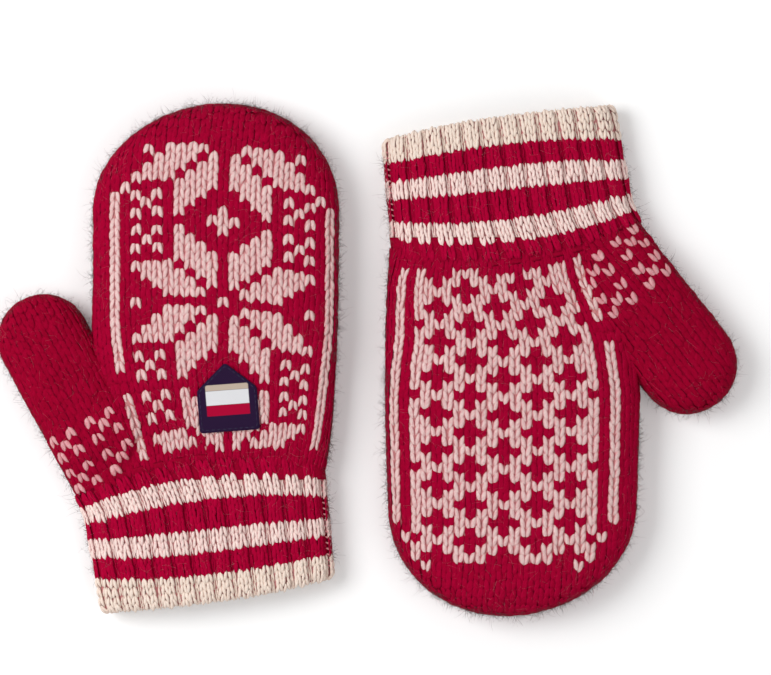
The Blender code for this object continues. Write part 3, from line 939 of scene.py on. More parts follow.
def grouped_material(name: str, group: Tree, surface: Surface, values: dict, attributes: dict) -> Material:
    """A material whose colour and bump come from a group.

    Args:
        name: Name of the material.
        group: The group.
        surface: How the material takes the light.
        values: Value of the group's inputs by name; a tuple is a colour.
        attributes: Mesh attribute and the output to read of it, by the group's input that it feeds.

    Returns:
        The material.
    """
    material, tree, shader = new_material(name)
    node = tree.nodes.new("ShaderNodeGroup")
    node.node_tree = group
    set_inputs(node, values)
    for socket, (attribute, output) in attributes.items():
        source = tree.nodes.new("ShaderNodeAttribute")
        source.attribute_name = attribute
        tree.links.new(source.outputs[output], node.inputs[socket])
    bump = tree.nodes.new("ShaderNodeBump")
    set_inputs(bump, {"Strength": surface.strength, "Distance": surface.depth})
    tree.links.new(node.outputs["Height"], bump.inputs["Height"])
    tree.links.new(bump.outputs["Normal"], shader.inputs["Normal"])
    tree.links.new(node.outputs["Color"], shader.inputs["Base Color"])
    set_inputs(shader, {"Roughness": surface.roughness, "Specular IOR Level": surface.shine})
    return material


# The label's weave in millimetres: the ribs' pitch, the way out at which the bars are gone and whole, how far
# a bar's edge fades, and each bar's lower and upper edge.
TWILL_PITCH = 0.7
BAR_ENDS = (8.7, 8.4)
BAR_EDGE = 0.2
BARS = {"Red Bar": (6.4, 10.8), "Pale Bar": (10.7, 16.6), "Sand Bar": (16.5, 19.0)}
# The near-black painted shade that mottles the ground in the gaps between the loops.
GROUND_SHADE = (0.03, 0.004, 0.006)


@cache
def fibre_group() -> Tree:
    """The fibres of a yarn: fine streaks along each twisted strand, uneven dye and a few stray fibres.

    The tone is 0.6 of the streaks, 0.25 of the strand's tint and 0.3 of the dye. At a strand's sides the
    colour goes over to the stray fibre's by the edge share: on cream the pink of felting, on red a brighter
    red that is painted light, lifting the shade at the loop's sides.
    """
    shares = ("Tint", "Stray Share", "Edge", "Bleed")
    group, given, result = new_group("Wool fibres", ("Dark", "Light", "Stray"), shares, ("Strand",))
    strand, stray = given.outputs["Strand"], given.outputs["Stray"]
    stretch = group.nodes.new("ShaderNodeVectorMath")
    stretch.operation = "MULTIPLY"
    stretch.inputs[1].default_value = (1.6, 1.6, 0.8)
    group.links.new(strand, stretch.inputs[0])
    streaks = noise(group, stretch.outputs["Vector"], 3.2, 4.0).outputs["Fac"]
    dye = noise(group, strand, 0.9, 1.0).outputs["Fac"]
    tone = combine(group, "MULTIPLY", spread(group, streaks, 0.3, 0.7), 0.6)
    tone = combine(group, "ADD", tone, combine(group, "MULTIPLY", given.outputs["Tint"], 0.25))
    tone = combine(group, "ADD", tone, combine(group, "MULTIPLY", dye, 0.3))
    wool = mix_colours(group, tone, given.outputs["Dark"], given.outputs["Light"])
    caught = spread(group, noise(group, strand, 1.7, 2.0).outputs["Fac"], 0.45, 0.7)
    caught = combine(group, "MULTIPLY", caught, given.outputs["Stray Share"])
    # Loops' sides: felted pink on cream, painted light lifting the shade on red.
    felt_and_light = combine(group, "MULTIPLY", given.outputs["Edge"], given.outputs["Bleed"])
    wool = mix_colours(group, felt_and_light, mix_colours(group, caught, wool, stray), stray)
    return put_out(group, result, wool, streaks)


@cache
def ground_group() -> Tree:
    """The ground behind the loops: the pattern's colour, mottled with painted shade, on Object coordinates.
    """
    group, given, result = new_group("Knit ground", ("Red", "Cream"), ("Pattern",))
    where = group.nodes.new("ShaderNodeTexCoord")
    mottle = noise(group, where.outputs["Object"], 1400.0, 3.0).outputs["Fac"]
    pattern = spread(group, given.outputs["Pattern"], 0.35, 0.65)
    colour = mix_colours(group, pattern, given.outputs["Red"], given.outputs["Cream"])
    colour = mix_colours(group, spread(group, mottle, 0.3, 0.7, most=0.35), colour, GROUND_SHADE)
    return put_out(group, result, colour, mottle)


@cache
def cloth_group() -> Tree:
    """A mottled cloth on Object coordinates."""
    group, given, result = new_group("Cloth grain", ("Dark", "Light"), ("Grain",))
    where = group.nodes.new("ShaderNodeTexCoord")
    grain = noise(group, where.outputs["Object"], 1.0, 3.0)
    group.links.new(given.outputs["Grain"], grain.inputs["Scale"])
    share = spread(group, grain.outputs["Fac"], 0.35, 0.65)
    colour = mix_colours(group, share, given.outputs["Dark"], given.outputs["Light"])
    return put_out(group, result, colour, grain.outputs["Fac"])


@cache
def twill_group() -> Tree:
    """Diagonal ribs and three bars across the label, on the label's own coordinates in millimetres."""
    group, given, result = new_group("Twill weave", ("Dark", "Light", *BARS), vectors=("Cloth",))
    parts = group.nodes.new("ShaderNodeSeparateXYZ")
    group.links.new(given.outputs["Cloth"], parts.inputs["Vector"])
    x, y = parts.outputs["X"], parts.outputs["Y"]
    slant = combine(group, "MULTIPLY", combine(group, "ADD", x, y), 2.0 * math.pi / TWILL_PITCH)
    ribs = spread(group, combine(group, "SINE", slant), -1.0, 1.0)
    colour = mix_colours(group, ribs, given.outputs["Dark"], given.outputs["Light"])
    inside = spread(group, combine(group, "ABSOLUTE", x), *BAR_ENDS)
    for socket, (low, high) in BARS.items():
        bar = spread(group, y, low, low + BAR_EDGE)
        bar = combine(group, "MULTIPLY", bar, spread(group, y, high, high - BAR_EDGE))
        bar = combine(group, "MULTIPLY", bar, inside)
        colour = mix_colours(group, bar, colour, given.outputs[socket])
    return put_out(group, result, colour, ribs)


@dataclass(frozen=True)
class WoolFinish:
    """A wool yarn's colours: the shaded and lit fibre, the stray fibre caught in it, and its share.

    The edge share is the stray fibre's share at a loop's sides: where neighbouring yarns felt together on
    cream, and painted light that lifts the shaded sides on red.
    """

    name: str
    dark: tuple
    light: tuple
    stray: tuple
    stray_share: float
    bleed: float = 0.0
    surface: Surface = Surface(roughness=0.95, shine=0.03, strength=0.5, depth=0.0003)

    @cache
    def material(self) -> Material:
        """Yarn whose colour and bump follow the fibres round and along each strand."""
        values = {"Dark": self.dark, "Light": self.light, "Stray": self.stray}
        values |= {"Stray Share": self.stray_share, "Bleed": self.bleed}
        attributes = {"Edge": ("edge", "Fac"), "Strand": ("strand", "Vector"), "Tint": ("tint", "Fac")}
        return grouped_material(self.name, fibre_group(), self.surface, values, attributes)


@dataclass(frozen=True)
class GroundFinish:
    """The fabric behind the loops, red or cream by the pattern in front of it."""

    name: str
    red: tuple
    cream: tuple
    surface: Surface = Surface(roughness=1.0, shine=0.03, strength=0.5, depth=0.0004)

    @cache
    def material(self) -> Material:
        """A dull ground that takes each loop's colour from the pattern attribute."""
        values = {"Red": self.red, "Cream": self.cream}
        attributes = {"Pattern": ("cream", "Fac")}
        return grouped_material(self.name, ground_group(), self.surface, values, attributes)


@dataclass(frozen=True)
class ClothFinish:
    """A plain cloth, mottled between two colours by a grain."""

    name: str
    dark: tuple
    light: tuple
    grain: float
    surface: Surface

    @cache
    def material(self) -> Material:
        """Cloth whose colour and bump follow the grain."""
        values = {"Dark": self.dark, "Light": self.light, "Grain": self.grain}
        return grouped_material(self.name, cloth_group(), self.surface, values, {})


@dataclass(frozen=True)
class TwillFinish:
    """The label's twill: two shades of navy in diagonal ribs, with three plain bars woven in."""

    name: str
    dark: tuple
    light: tuple
    bars: tuple
    surface: Surface = Surface(roughness=0.8, shine=0.08, strength=0.6, depth=0.00008)

    @cache
    def material(self) -> Material:
        """Twill laid out by the label's own coordinates."""
        values = {"Dark": self.dark, "Light": self.light, **dict(zip(BARS, self.bars))}
        attributes = {"Cloth": ("cloth", "Vector")}
        return grouped_material(self.name, twill_group(), self.surface, values, attributes)


RED_DARK = (0.215, 0.0002, 0.0130)
RED_LIGHT = (0.385, 0.0006, 0.0310)
# A brighter red: the colour of stray red fibres, and at the red loops' sides painted light that lifts their
# shade.
RED_STRAY_AND_EDGE_LIGHT = (0.46, 0.003, 0.048)
FELTED_DARK = (0.190, 0.0002, 0.0105)
FELTED_LIGHT = (0.345, 0.0006, 0.0250)
# Painted light: the hand's red yarn made brighter for the cuff, to offset the shade of the ribs' valleys.
BRIGHTENED_CUFF_DARK = (0.270, 0.0003, 0.0180)
BRIGHTENED_CUFF_LIGHT = (0.460, 0.0010, 0.0400)
CREAM_DARK = (0.585, 0.375, 0.365)
CREAM_LIGHT = (0.855, 0.655, 0.625)
FELTED_CREAM_DARK = (0.52, 0.20, 0.225)
FELTED_CREAM_LIGHT = (0.80, 0.47, 0.475)
ECRU_STRAY = (0.78, 0.55, 0.47)
PINK_STRAY = (0.62, 0.13, 0.17)

# The last number of each yarn is its edge share: felting on cream and ecru, painted light on red.
HAND_WOOL = {
    Yarn.RED: WoolFinish("red_yarn", RED_DARK, RED_LIGHT, RED_STRAY_AND_EDGE_LIGHT, 0.25, 0.6),
    Yarn.CREAM: WoolFinish("cream_yarn", CREAM_DARK, CREAM_LIGHT, PINK_STRAY, 0.35, 0.75),
}
THUMB_WOOL = {
    Yarn.RED: WoolFinish("felted_red_yarn", FELTED_DARK, FELTED_LIGHT, RED_STRAY_AND_EDGE_LIGHT, 0.2, 0.4),
    Yarn.CREAM: WoolFinish("felted_cream_yarn", FELTED_CREAM_DARK, FELTED_CREAM_LIGHT, PINK_STRAY, 0.6, 0.6),
}
# Painted light: the cuff's red and stripe cream are brightened copies of the hand's yarns; the ecru is its
# own.
CUFF_WOOL = {
    Yarn.RED: WoolFinish("cuff_red_yarn", BRIGHTENED_CUFF_DARK, BRIGHTENED_CUFF_LIGHT, RED_STRAY_AND_EDGE_LIGHT, 0.25, 0.6),
    Yarn.CREAM: WoolFinish("stripe_yarn", (0.87, 0.66, 0.61), (0.94, 0.80, 0.74), PINK_STRAY, 0.20, 0.35),
    Yarn.ECRU: WoolFinish("ecru_yarn", (0.83, 0.675, 0.58), (0.92, 0.80, 0.70), ECRU_STRAY, 0.35, 0.3),
}
GROUND = GroundFinish("knit_ground", (0.33, 0.0006, 0.024), (0.62, 0.25, 0.25))
PALE_FUZZ = WoolFinish("pale_fuzz", (0.46, 0.05, 0.09), (0.70, 0.32, 0.35), (0.52, 0.02, 0.06), 0.5)
# The halo's fibres are real fuzz, but their dark grey is painted shade along the mittens' edges.
PAINTED_SHADE_HALO = WoolFinish("dark_halo", (0.070, 0.055, 0.058), (0.170, 0.135, 0.140), (0.20, 0.05, 0.06), 0.3)
SEAM_WOOL = WoolFinish("seam_yarn", (0.55, 0.15, 0.18), (0.74, 0.36, 0.37), (0.55, 0.06, 0.10), 0.5)
LABEL_THREAD = WoolFinish("label_yarn", (0.020, 0.015, 0.038), (0.055, 0.045, 0.095), (0.03, 0.03, 0.07), 0.2)
PILE = Surface(roughness=0.9, shine=0.1, strength=0.7, depth=0.0006)
FLEECE = ClothFinish("lining_pile", (0.26, 0.25, 0.24), (0.42, 0.40, 0.38), 900.0, PILE)
SATIN = ClothFinish("tag_cloth", (0.72, 0.72, 0.70), (0.82, 0.82, 0.80), 2500.0, replace(PILE, depth=0.00005))
BAR_COLOURS = (RED_LIGHT, (0.70, 0.70, 0.72), (0.50, 0.40, 0.32))
TWILL = TwillFinish("label_cloth", (0.012, 0.0035, 0.021), (0.027, 0.010, 0.046), BAR_COLOURS)


@dataclass(frozen=True)
class Rim:
    """Two wales of loops along the rim of a closed end, one over the other.

    The rim is (w sin a, b + d cos a) from the bend b, for a from -90 to 90 degrees, walked in even steps.
    """

    form: FlatTube
    dome: float
    half_width: float
    pitch: float
    row: float
    apart: float = 0.45
    sunk: float = 0.45
    side_sunk: float = 0.5
    side_power: int = 6
    tilt: float = 0.4

    def loops(self) -> Stitches:
        """Red loops whose apexes point to the tip, in the tube's own frame."""
        fine = np.linspace(-math.pi / 2.0, math.pi / 2.0, RIM_STEPS)
        steps = np.gradient(self.half_width * np.sin(fine)), np.gradient(self.dome * np.cos(fine))
        walk = np.hypot(*steps).cumsum()
        count = int(walk[-1] / self.row)
        angle = np.interp((np.arange(count) + 0.5) * walk[-1] / count, walk, fine)
        angle = np.repeat(angle[:, None], 2, 1)
        sine, cosine, level = np.sin(angle), np.cos(angle), np.zeros_like(angle)
        over = np.broadcast_to([-1.0, 1.0], angle.shape)
        y = self.form.bend + self.dome * cosine
        middle_x, middle_z, _, _ = self.form.section(y)
        out = unit(np.stack([sine / self.half_width, cosine / self.dome, level], -1))
        sunk = (self.sunk + self.side_sunk * sine**self.side_power)[..., None]
        z = middle_z + over * (self.apart * self.pitch)
        edge = np.stack([middle_x + self.half_width * sine, y, z], -1)
        along = unit(np.stack([self.half_width * cosine, -self.dome * sine, level], -1))
        along = along * -np.sign(angle)[..., None]
        place = edge - sunk * out
        out = unit(out + np.stack([level, level, over * self.tilt], -1))
        flat = [data.reshape(-1, 3) for data in (place, np.cross(along, out), along, out)]
        size = np.ones(angle.size)
        return Stitches(*flat, size * self.pitch, size * self.row, np.full(angle.size, Yarn.RED))


def round_strands(path: Array, radius: Array, sides: int) -> Array:
    """Round strands about their middle lines.

    Args:
        path: Middle lines, with axes strand, ring and XYZ.
        radius: Radius at each ring.
        sides: Points in each ring.

    Returns:
        Points with axes strand, ring, side and XYZ.
    """
    tangent = unit(np.gradient(path, axis=1))
    upright = np.abs(tangent[..., 2:]) > UPRIGHT
    helper = np.where(upright, [1.0, 0.0, 0.0], [0.0, 0.0, 1.0])
    side = unit(np.cross(helper, tangent))
    up = np.cross(tangent, side)
    turn = np.arange(sides) * 2.0 * math.pi / sides
    ring = np.cos(turn)[:, None] * up[:, :, None] + np.sin(turn)[:, None] * side[:, :, None]
    return path[:, :, None] + radius[:, None, None] * ring


def strand_piece(name: str, points: Array, place: Place, wool: WoolFinish, seed: int) -> Piece:
    """Strands as one piece, with the attributes that the wool finish reads.

    Args:
        name: Name of the piece.
        points: Points in the mitten's frame, with axes strand, ring, side and XYZ.
        place: Where the mitten lies.
        wool: Its finish.
        seed: Seed of each strand's part of the fibre pattern and of its tint.

    Returns:
        The piece, pressed up from the table.
    """
    rng = np.random.default_rng(seed)
    count, rings, sides, _ = points.shape
    turn = np.arange(sides) * 2.0 * math.pi / sides
    length, turn = np.meshgrid(np.linspace(0.0, 1.0, rings), turn, indexing="ij")
    strand = np.stack([np.cos(turn), np.sin(turn), length], -1)
    strand = strand + rng.uniform(0.0, STRAND_ROOM, (count, 1, 1, 3))
    tint = np.broadcast_to(rng.uniform(0.0, 1.0, (count, 1, 1)), points.shape[:3])
    points, faces, (strand, tint) = strand_mesh(points, strand, tint)
    points[:, 2] = settle(points[:, 2], THREAD_CLEAR, THREAD_GIVE)
    return new_piece(name, place.to_world(points), faces, wool.material(), strand=strand, tint=tint)


@dataclass(frozen=True)
class Fuzz:
    """One kind of loose fibre: pale over the knit, or a halo round its edges whose grey is painted shade."""

    name: str
    wool: WoolFinish
    edge: bool
    radius: float
    rise: float
    over: float
    rings: int = 4
    sides: int = 3
    shortest: float = 1.4
    longest: float = 6.5
    curl: float = 0.55
    root: float = 0.1
    steepness: float = 1.2
    levelling: float = 0.5
    taper: float = 0.6
    lowest: float = 0.3
    edge_level: float = 0.45
    least_weight: float = 0.02

    def paths(self, loops: Stitches, count: int, rng: np.random.Generator) -> Array:
        """Middle lines of fibres that start on loops picked at random.

        A fibre leaves at a random heading over the knit, curls with the square of the way along, and rises
        off it. For the halo the loops whose faces look sideways are picked.

        Args:
            loops: The loops to start from.
            count: Number of fibres.
            rng: Source of the chances.

        Returns:
            Points with axes fibre, ring and XYZ.
        """
        facing = loops.out[:, 2]
        sideways = (np.abs(facing) < self.edge_level).astype(float)
        weight = sideways if self.edge else np.clip(facing, self.least_weight, 1.0)
        pick = loops.kept(rng.choice(len(weight), count, p=weight / weight.sum()))
        across, along = rng.uniform(-0.5, 0.5, (2, count, 1))
        start = pick.place + across * pick.width[:, None] * pick.across
        start = start + along * pick.height[:, None] * pick.along
        heading = rng.uniform(0.0, 2.0 * math.pi, (count, 1))
        ahead = np.cos(heading) * pick.across + np.sin(heading) * pick.along
        aside = np.cos(heading) * pick.along - np.sin(heading) * pick.across
        chance = rng.uniform(0.0, 1.0, (count, 1, 1))
        length = self.shortest + (self.longest - self.shortest) * chance * chance
        rise = np.abs(rng.normal(0.0, self.rise, (count, 1, 1)))
        curl = rng.normal(0.0, self.curl, (count, 1, 1))
        t = np.linspace(0.0, 1.0, self.rings)[None, :, None]
        over = length * self.over * (t * ahead[:, None] + curl * t * t * aside[:, None])
        lift = self.root + length * rise * t * (self.steepness - self.levelling * t)
        path = start[:, None] + over + lift * pick.out[:, None]
        path[..., 2] = np.maximum(path[..., 2], self.lowest)
        return path

    def strands(self, loops: Stitches, count: int, rng: np.random.Generator) -> Array:
        """A number of fibres, thinner towards their free ends."""
        radius = self.radius * (1.0 - self.taper * np.linspace(0.0, 1.0, self.rings))
        return round_strands(self.paths(loops, count, rng), radius, self.sides)


FUZZ = (
    Fuzz("fuzz", PALE_FUZZ, edge=False, radius=0.032, rise=0.16, over=0.9),
    Fuzz("halo", PAINTED_SHADE_HALO, edge=True, radius=0.045, rise=0.6, over=0.5),
)


@dataclass
class Knitted:
    """A knitted region of a mitten: a piece for each yarn, the ground behind them and fuzz.

    The region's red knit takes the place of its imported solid. Each region has its own loops() and ground().
    """

    place: Place
    region: str = ""
    slot: str = "red_wool"
    seed: int = HAND_SEED
    fibres: tuple = (0, 0)
    wool: ClassVar[dict] = {}

    def hairy(self, loops: Stitches) -> Stitches:
        """The loops that loose fibres start from."""
        return loops

    def carry(self, piece: Piece) -> None:
        """Makes a piece ride on the mitten."""
        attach(piece, self.place.body)

    def knit(self, loops: Stitches) -> dict:
        """The loops as one piece for each yarn that they use; no point of it goes under the table."""
        name = self.place.name(self.region + "_knit")
        pieces = {}
        for k, yarn in enumerate(Yarn):
            chosen = loops.kept(loops.yarn == yarn)
            if not len(chosen.place):
                continue
            points, *values = LOOPS[yarn].legs(chosen, np.random.default_rng(self.seed + k))
            points, faces, values = strand_mesh(points, *values)
            points = self.place.to_world(self.place.settled(points))
            label = name if yarn is Yarn.RED else name + "_" + yarn.value
            attributes = dict(zip(("strand", "tint", "edge"), values))
            pieces[yarn] = new_piece(label, points, faces, self.wool[yarn].material(), **attributes)
        return pieces

    def fuzz(self, loops: Stitches) -> list[Piece]:
        """The pale fuzz and the halo, each with its own number of fibres."""
        pieces = []
        for k, (kind, count) in enumerate(zip(FUZZ, self.fibres)):
            strands = kind.strands(loops, count, np.random.default_rng(FUZZ_SEED + k))
            name = self.place.name(self.region + "_" + kind.name)
            pieces.append(strand_piece(name, strands, self.place, kind.wool, FIBRE_SEED + k))
        return pieces

    def behind(self, points: Array, faces: Array | list, cream: Array) -> Piece:
        """The ground as a piece, pressed up from the table, with the pattern in front of it."""
        points = self.place.to_world(self.place.settled(points))
        name = self.place.name(self.region + "_ground")
        return new_piece(name, points, faces, GROUND.material(), cream=cream)

    def build(self) -> None:
        """Builds the region's pieces."""
        loops = self.loops()
        pieces = self.knit(loops)
        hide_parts(self.place.name(self.region))
        for piece in (*pieces.values(), *self.fuzz(self.hairy(loops)), self.ground()):
            self.carry(piece)


@dataclass
class KnitTube(Knitted):
    """A region along a tube with a closed end, with its own wales and rows, pitch(), lay() and cream()."""

    chart: Chart = Chart()
    row_pitch: float = 3.58
    sunk: float = 0.45
    inner_depth: float = 2.7

    def loops(self) -> Stitches:
        """The loops of every wale and row that show, and those of the rim."""
        wales = np.arange(self.wales) - self.half_wales
        rows = np.arange(self.first_row, self.last_row)
        wale, row = (grid.ravel() for grid in np.meshgrid(wales, rows))
        place, left = self.lay(wale.astype(float), row.astype(float))
        ahead, _ = self.lay(wale.astype(float), row + BESIDE)
        aside, _ = self.lay(wale + BESIDE, row.astype(float))
        width = self.pitch(place[:, 1])
        yarn = np.where(self.cream(wale, row, place), Yarn.CREAM, Yarn.RED)
        loops = Stitches.on_surface(place, ahead, aside, width, self.row_pitch, yarn)
        keep = ~self.hidden(place) & (left > RIM_SHARE * width)
        keep &= self.place.cuff.past_join(place) < JOIN_OVERLAP
        return Stitches.joined([loops.kept(keep), self.rim(float(width.max()))])


@dataclass
class KnitHand(KnitTube):
    """The knitted hand of one mitten: its loops in two colours and the ground behind them."""

    region: str = "hand"
    wool: ClassVar[dict] = HAND_WOOL
    wales: int = 50
    half_wales: int = 12
    first_row: int = -22
    last_row: int = 25
    middle_x: float = 9.56
    middle_y: float = 66.0
    shift_start: float = 40.0
    shift_reach: float = 30.0
    narrowing: float = 1.05
    narrowing_end: float = 62.0
    narrowing_power: float = 1.6
    wrist_slope: float = 0.1317
    wrist_bow: float = 0.0032
    even_from: float = 45.0
    flank: float = 60.0
    stripe_gap: tuple = (-9, -8)
    ground_depth: float = 0.62
    ground_start: float = -5.0
    ground_around: int = 150
    pattern_end: float = 30.0
    plain_band: float = 5.0
    gusset_share: float = 1.0 / 3.0
    gusset_edge: float = 1.5
    root_above: float = 2.0
    root_below: float = -0.5
    crotch_room: float = 6.0
    fibres: tuple = (1900, 4600)

    def pitch(self, y: Array) -> Array:
        """Width of a wale: the girth shared among the wales, less where the gusset takes room."""
        full = 4.0 * self.place.hand.quarter(np.clip(y, 0.0, self.place.hand.knuckle)) / self.wales
        return full - self.narrowing * np.maximum(1.0 - y / self.narrowing_end, 0.0) ** self.narrowing_power

    def pattern_middle(self, y: Array) -> Array:
        """X of the pattern's middle, which moves away from the thumb by the wrist."""
        near_wrist = smooth_step((self.shift_start - y) / self.shift_reach)
        return self.middle_x + self.place.hand.pattern_shift * near_wrist

    def arc(self, wale: Array, y: Array) -> tuple[Array, Array]:
        """Distance of a wale round the hand, and the distance left to the rim of the dome."""
        hand = self.place.hand
        straight = np.minimum(y, hand.knuckle)
        base = self.pattern_middle(straight) - hand.section(straight)[0] + wale * self.pitch(straight)
        return hand.over_end(base, y)

    def drop(self, x: Array, y: Array) -> Array:
        """How far a row stands above its level at X: a slope and a bow, the cuff's own by the wrist."""
        away = np.clip(x - self.pattern_middle(y), -self.flank, self.flank)
        share = smooth_step(y / self.even_from)
        slope = self.wrist_slope + (self.place.hand.row_slope - self.wrist_slope) * share
        bow = self.wrist_bow + (self.place.hand.row_bow - self.wrist_bow) * share
        return slope * away - bow * away * away

    def lay(self, wale: Array, row: Array) -> tuple[Array, Array]:
        """Places of loops by wale and row, and the distance left to the rim.

        A row's level is moved by its drop, and the upper face is raised to the gusset beside it.
        """
        hand = self.place.hand
        level = self.middle_y + self.row_pitch * row
        x = hand.point(level, self.arc(wale, level)[0])[..., 0]
        walked = level + self.drop(x, level)
        y, whole = hand.along_face(walked)
        arc, left = self.arc(wale, y)
        return self.raised(hand.point(y, arc, -self.sunk)), np.minimum(left, whole - walked)

    def upper(self, points: Array) -> Array:
        """Whether points are on the face of the hand that lies up."""
        return points[..., 2] > self.place.hand.section(points[..., 1])[1]

    def raised(self, points: Array) -> Array:
        """Points of the upper face, raised where the gusset stands beside them."""
        beside = self.place.thumb.top_at(points[..., 0], points[..., 1])
        return self.place.raised(points, beside, self.upper(points))

    def cream(self, wale: Array, row: Array, points: Array) -> Array:
        """Whether each loop is cream, by the charts of the back and palm; a band by the cuff stays plain."""
        upper = wale <= self.half_wales + 0.5
        k = np.where(upper, wale, 2 * self.half_wales + 1 - wale)
        back, palm = self.chart.back(k, row), self.chart.palm(k, row)
        cream = np.where(upper != self.place.turned, back, palm)
        gap = (k == -self.chart.stripe) & np.isin(row, self.stripe_gap)
        return cream & ~gap & (self.place.cuff.past_join(points) < -self.plain_band)

    def hidden(self, points: Array) -> Array:
        """Whether points of the hand lie under the gusset's knit, up to the thumb's root."""
        thumb = self.place.thumb
        x, y, z = points.T
        across, along = thumb.from_mitten(x, y)
        upper = self.upper(points)
        gusset = np.abs(across - thumb.middle) < thumb.width * self.gusset_share
        gusset &= across < thumb.inner_limit(along) - self.gusset_edge
        covered = np.where(upper, thumb.top_at(x, y) - z > HIDDEN_UNDER, gusset)
        return covered & (along < np.where(upper, self.root_above, self.root_below))

    def rim(self, pitch: float) -> Stitches:
        """The loops along the rim of the dome."""
        hand = self.place.hand
        return Rim(hand, hand.dome, hand.knuckle_width / 2.0, pitch, self.row_pitch).loops()

    def hairy(self, loops: Stitches) -> Stitches:
        """The loops away from the thumb, so that no fibre reaches it as it swings."""
        thumb = self.place.thumb
        across, along = thumb.from_mitten(loops.place[:, 0], loops.place[:, 1])
        return loops.kept((along > thumb.length) | (across > thumb.width / 2.0 + self.crotch_room))

    def ground(self) -> Piece:
        """The fabric behind the loops: a bag of two walls, open at the wrist, coloured by the pattern."""
        hand = self.place.hand
        bag = Bag(hand, self.ground_depth, self.inner_depth, self.ground_around)
        rows, level, arc = bag.walls(self.ground_start)
        row = (level - self.drop(rows[..., 0], level) - self.middle_y) / self.row_pitch
        wale = (arc - self.pattern_middle(level) + hand.section(level)[0]) / self.pitch(level)
        wale = np.where(wale < -self.half_wales - 0.5, wale + self.wales, wale)
        cream = self.cream(np.rint(wale).astype(int), np.rint(row).astype(int), rows)
        cream &= level < hand.knuckle + self.pattern_end
        return self.behind(*closed_grid(self.raised(rows)), np.append(cream.ravel(), [0.0, 0.0]))


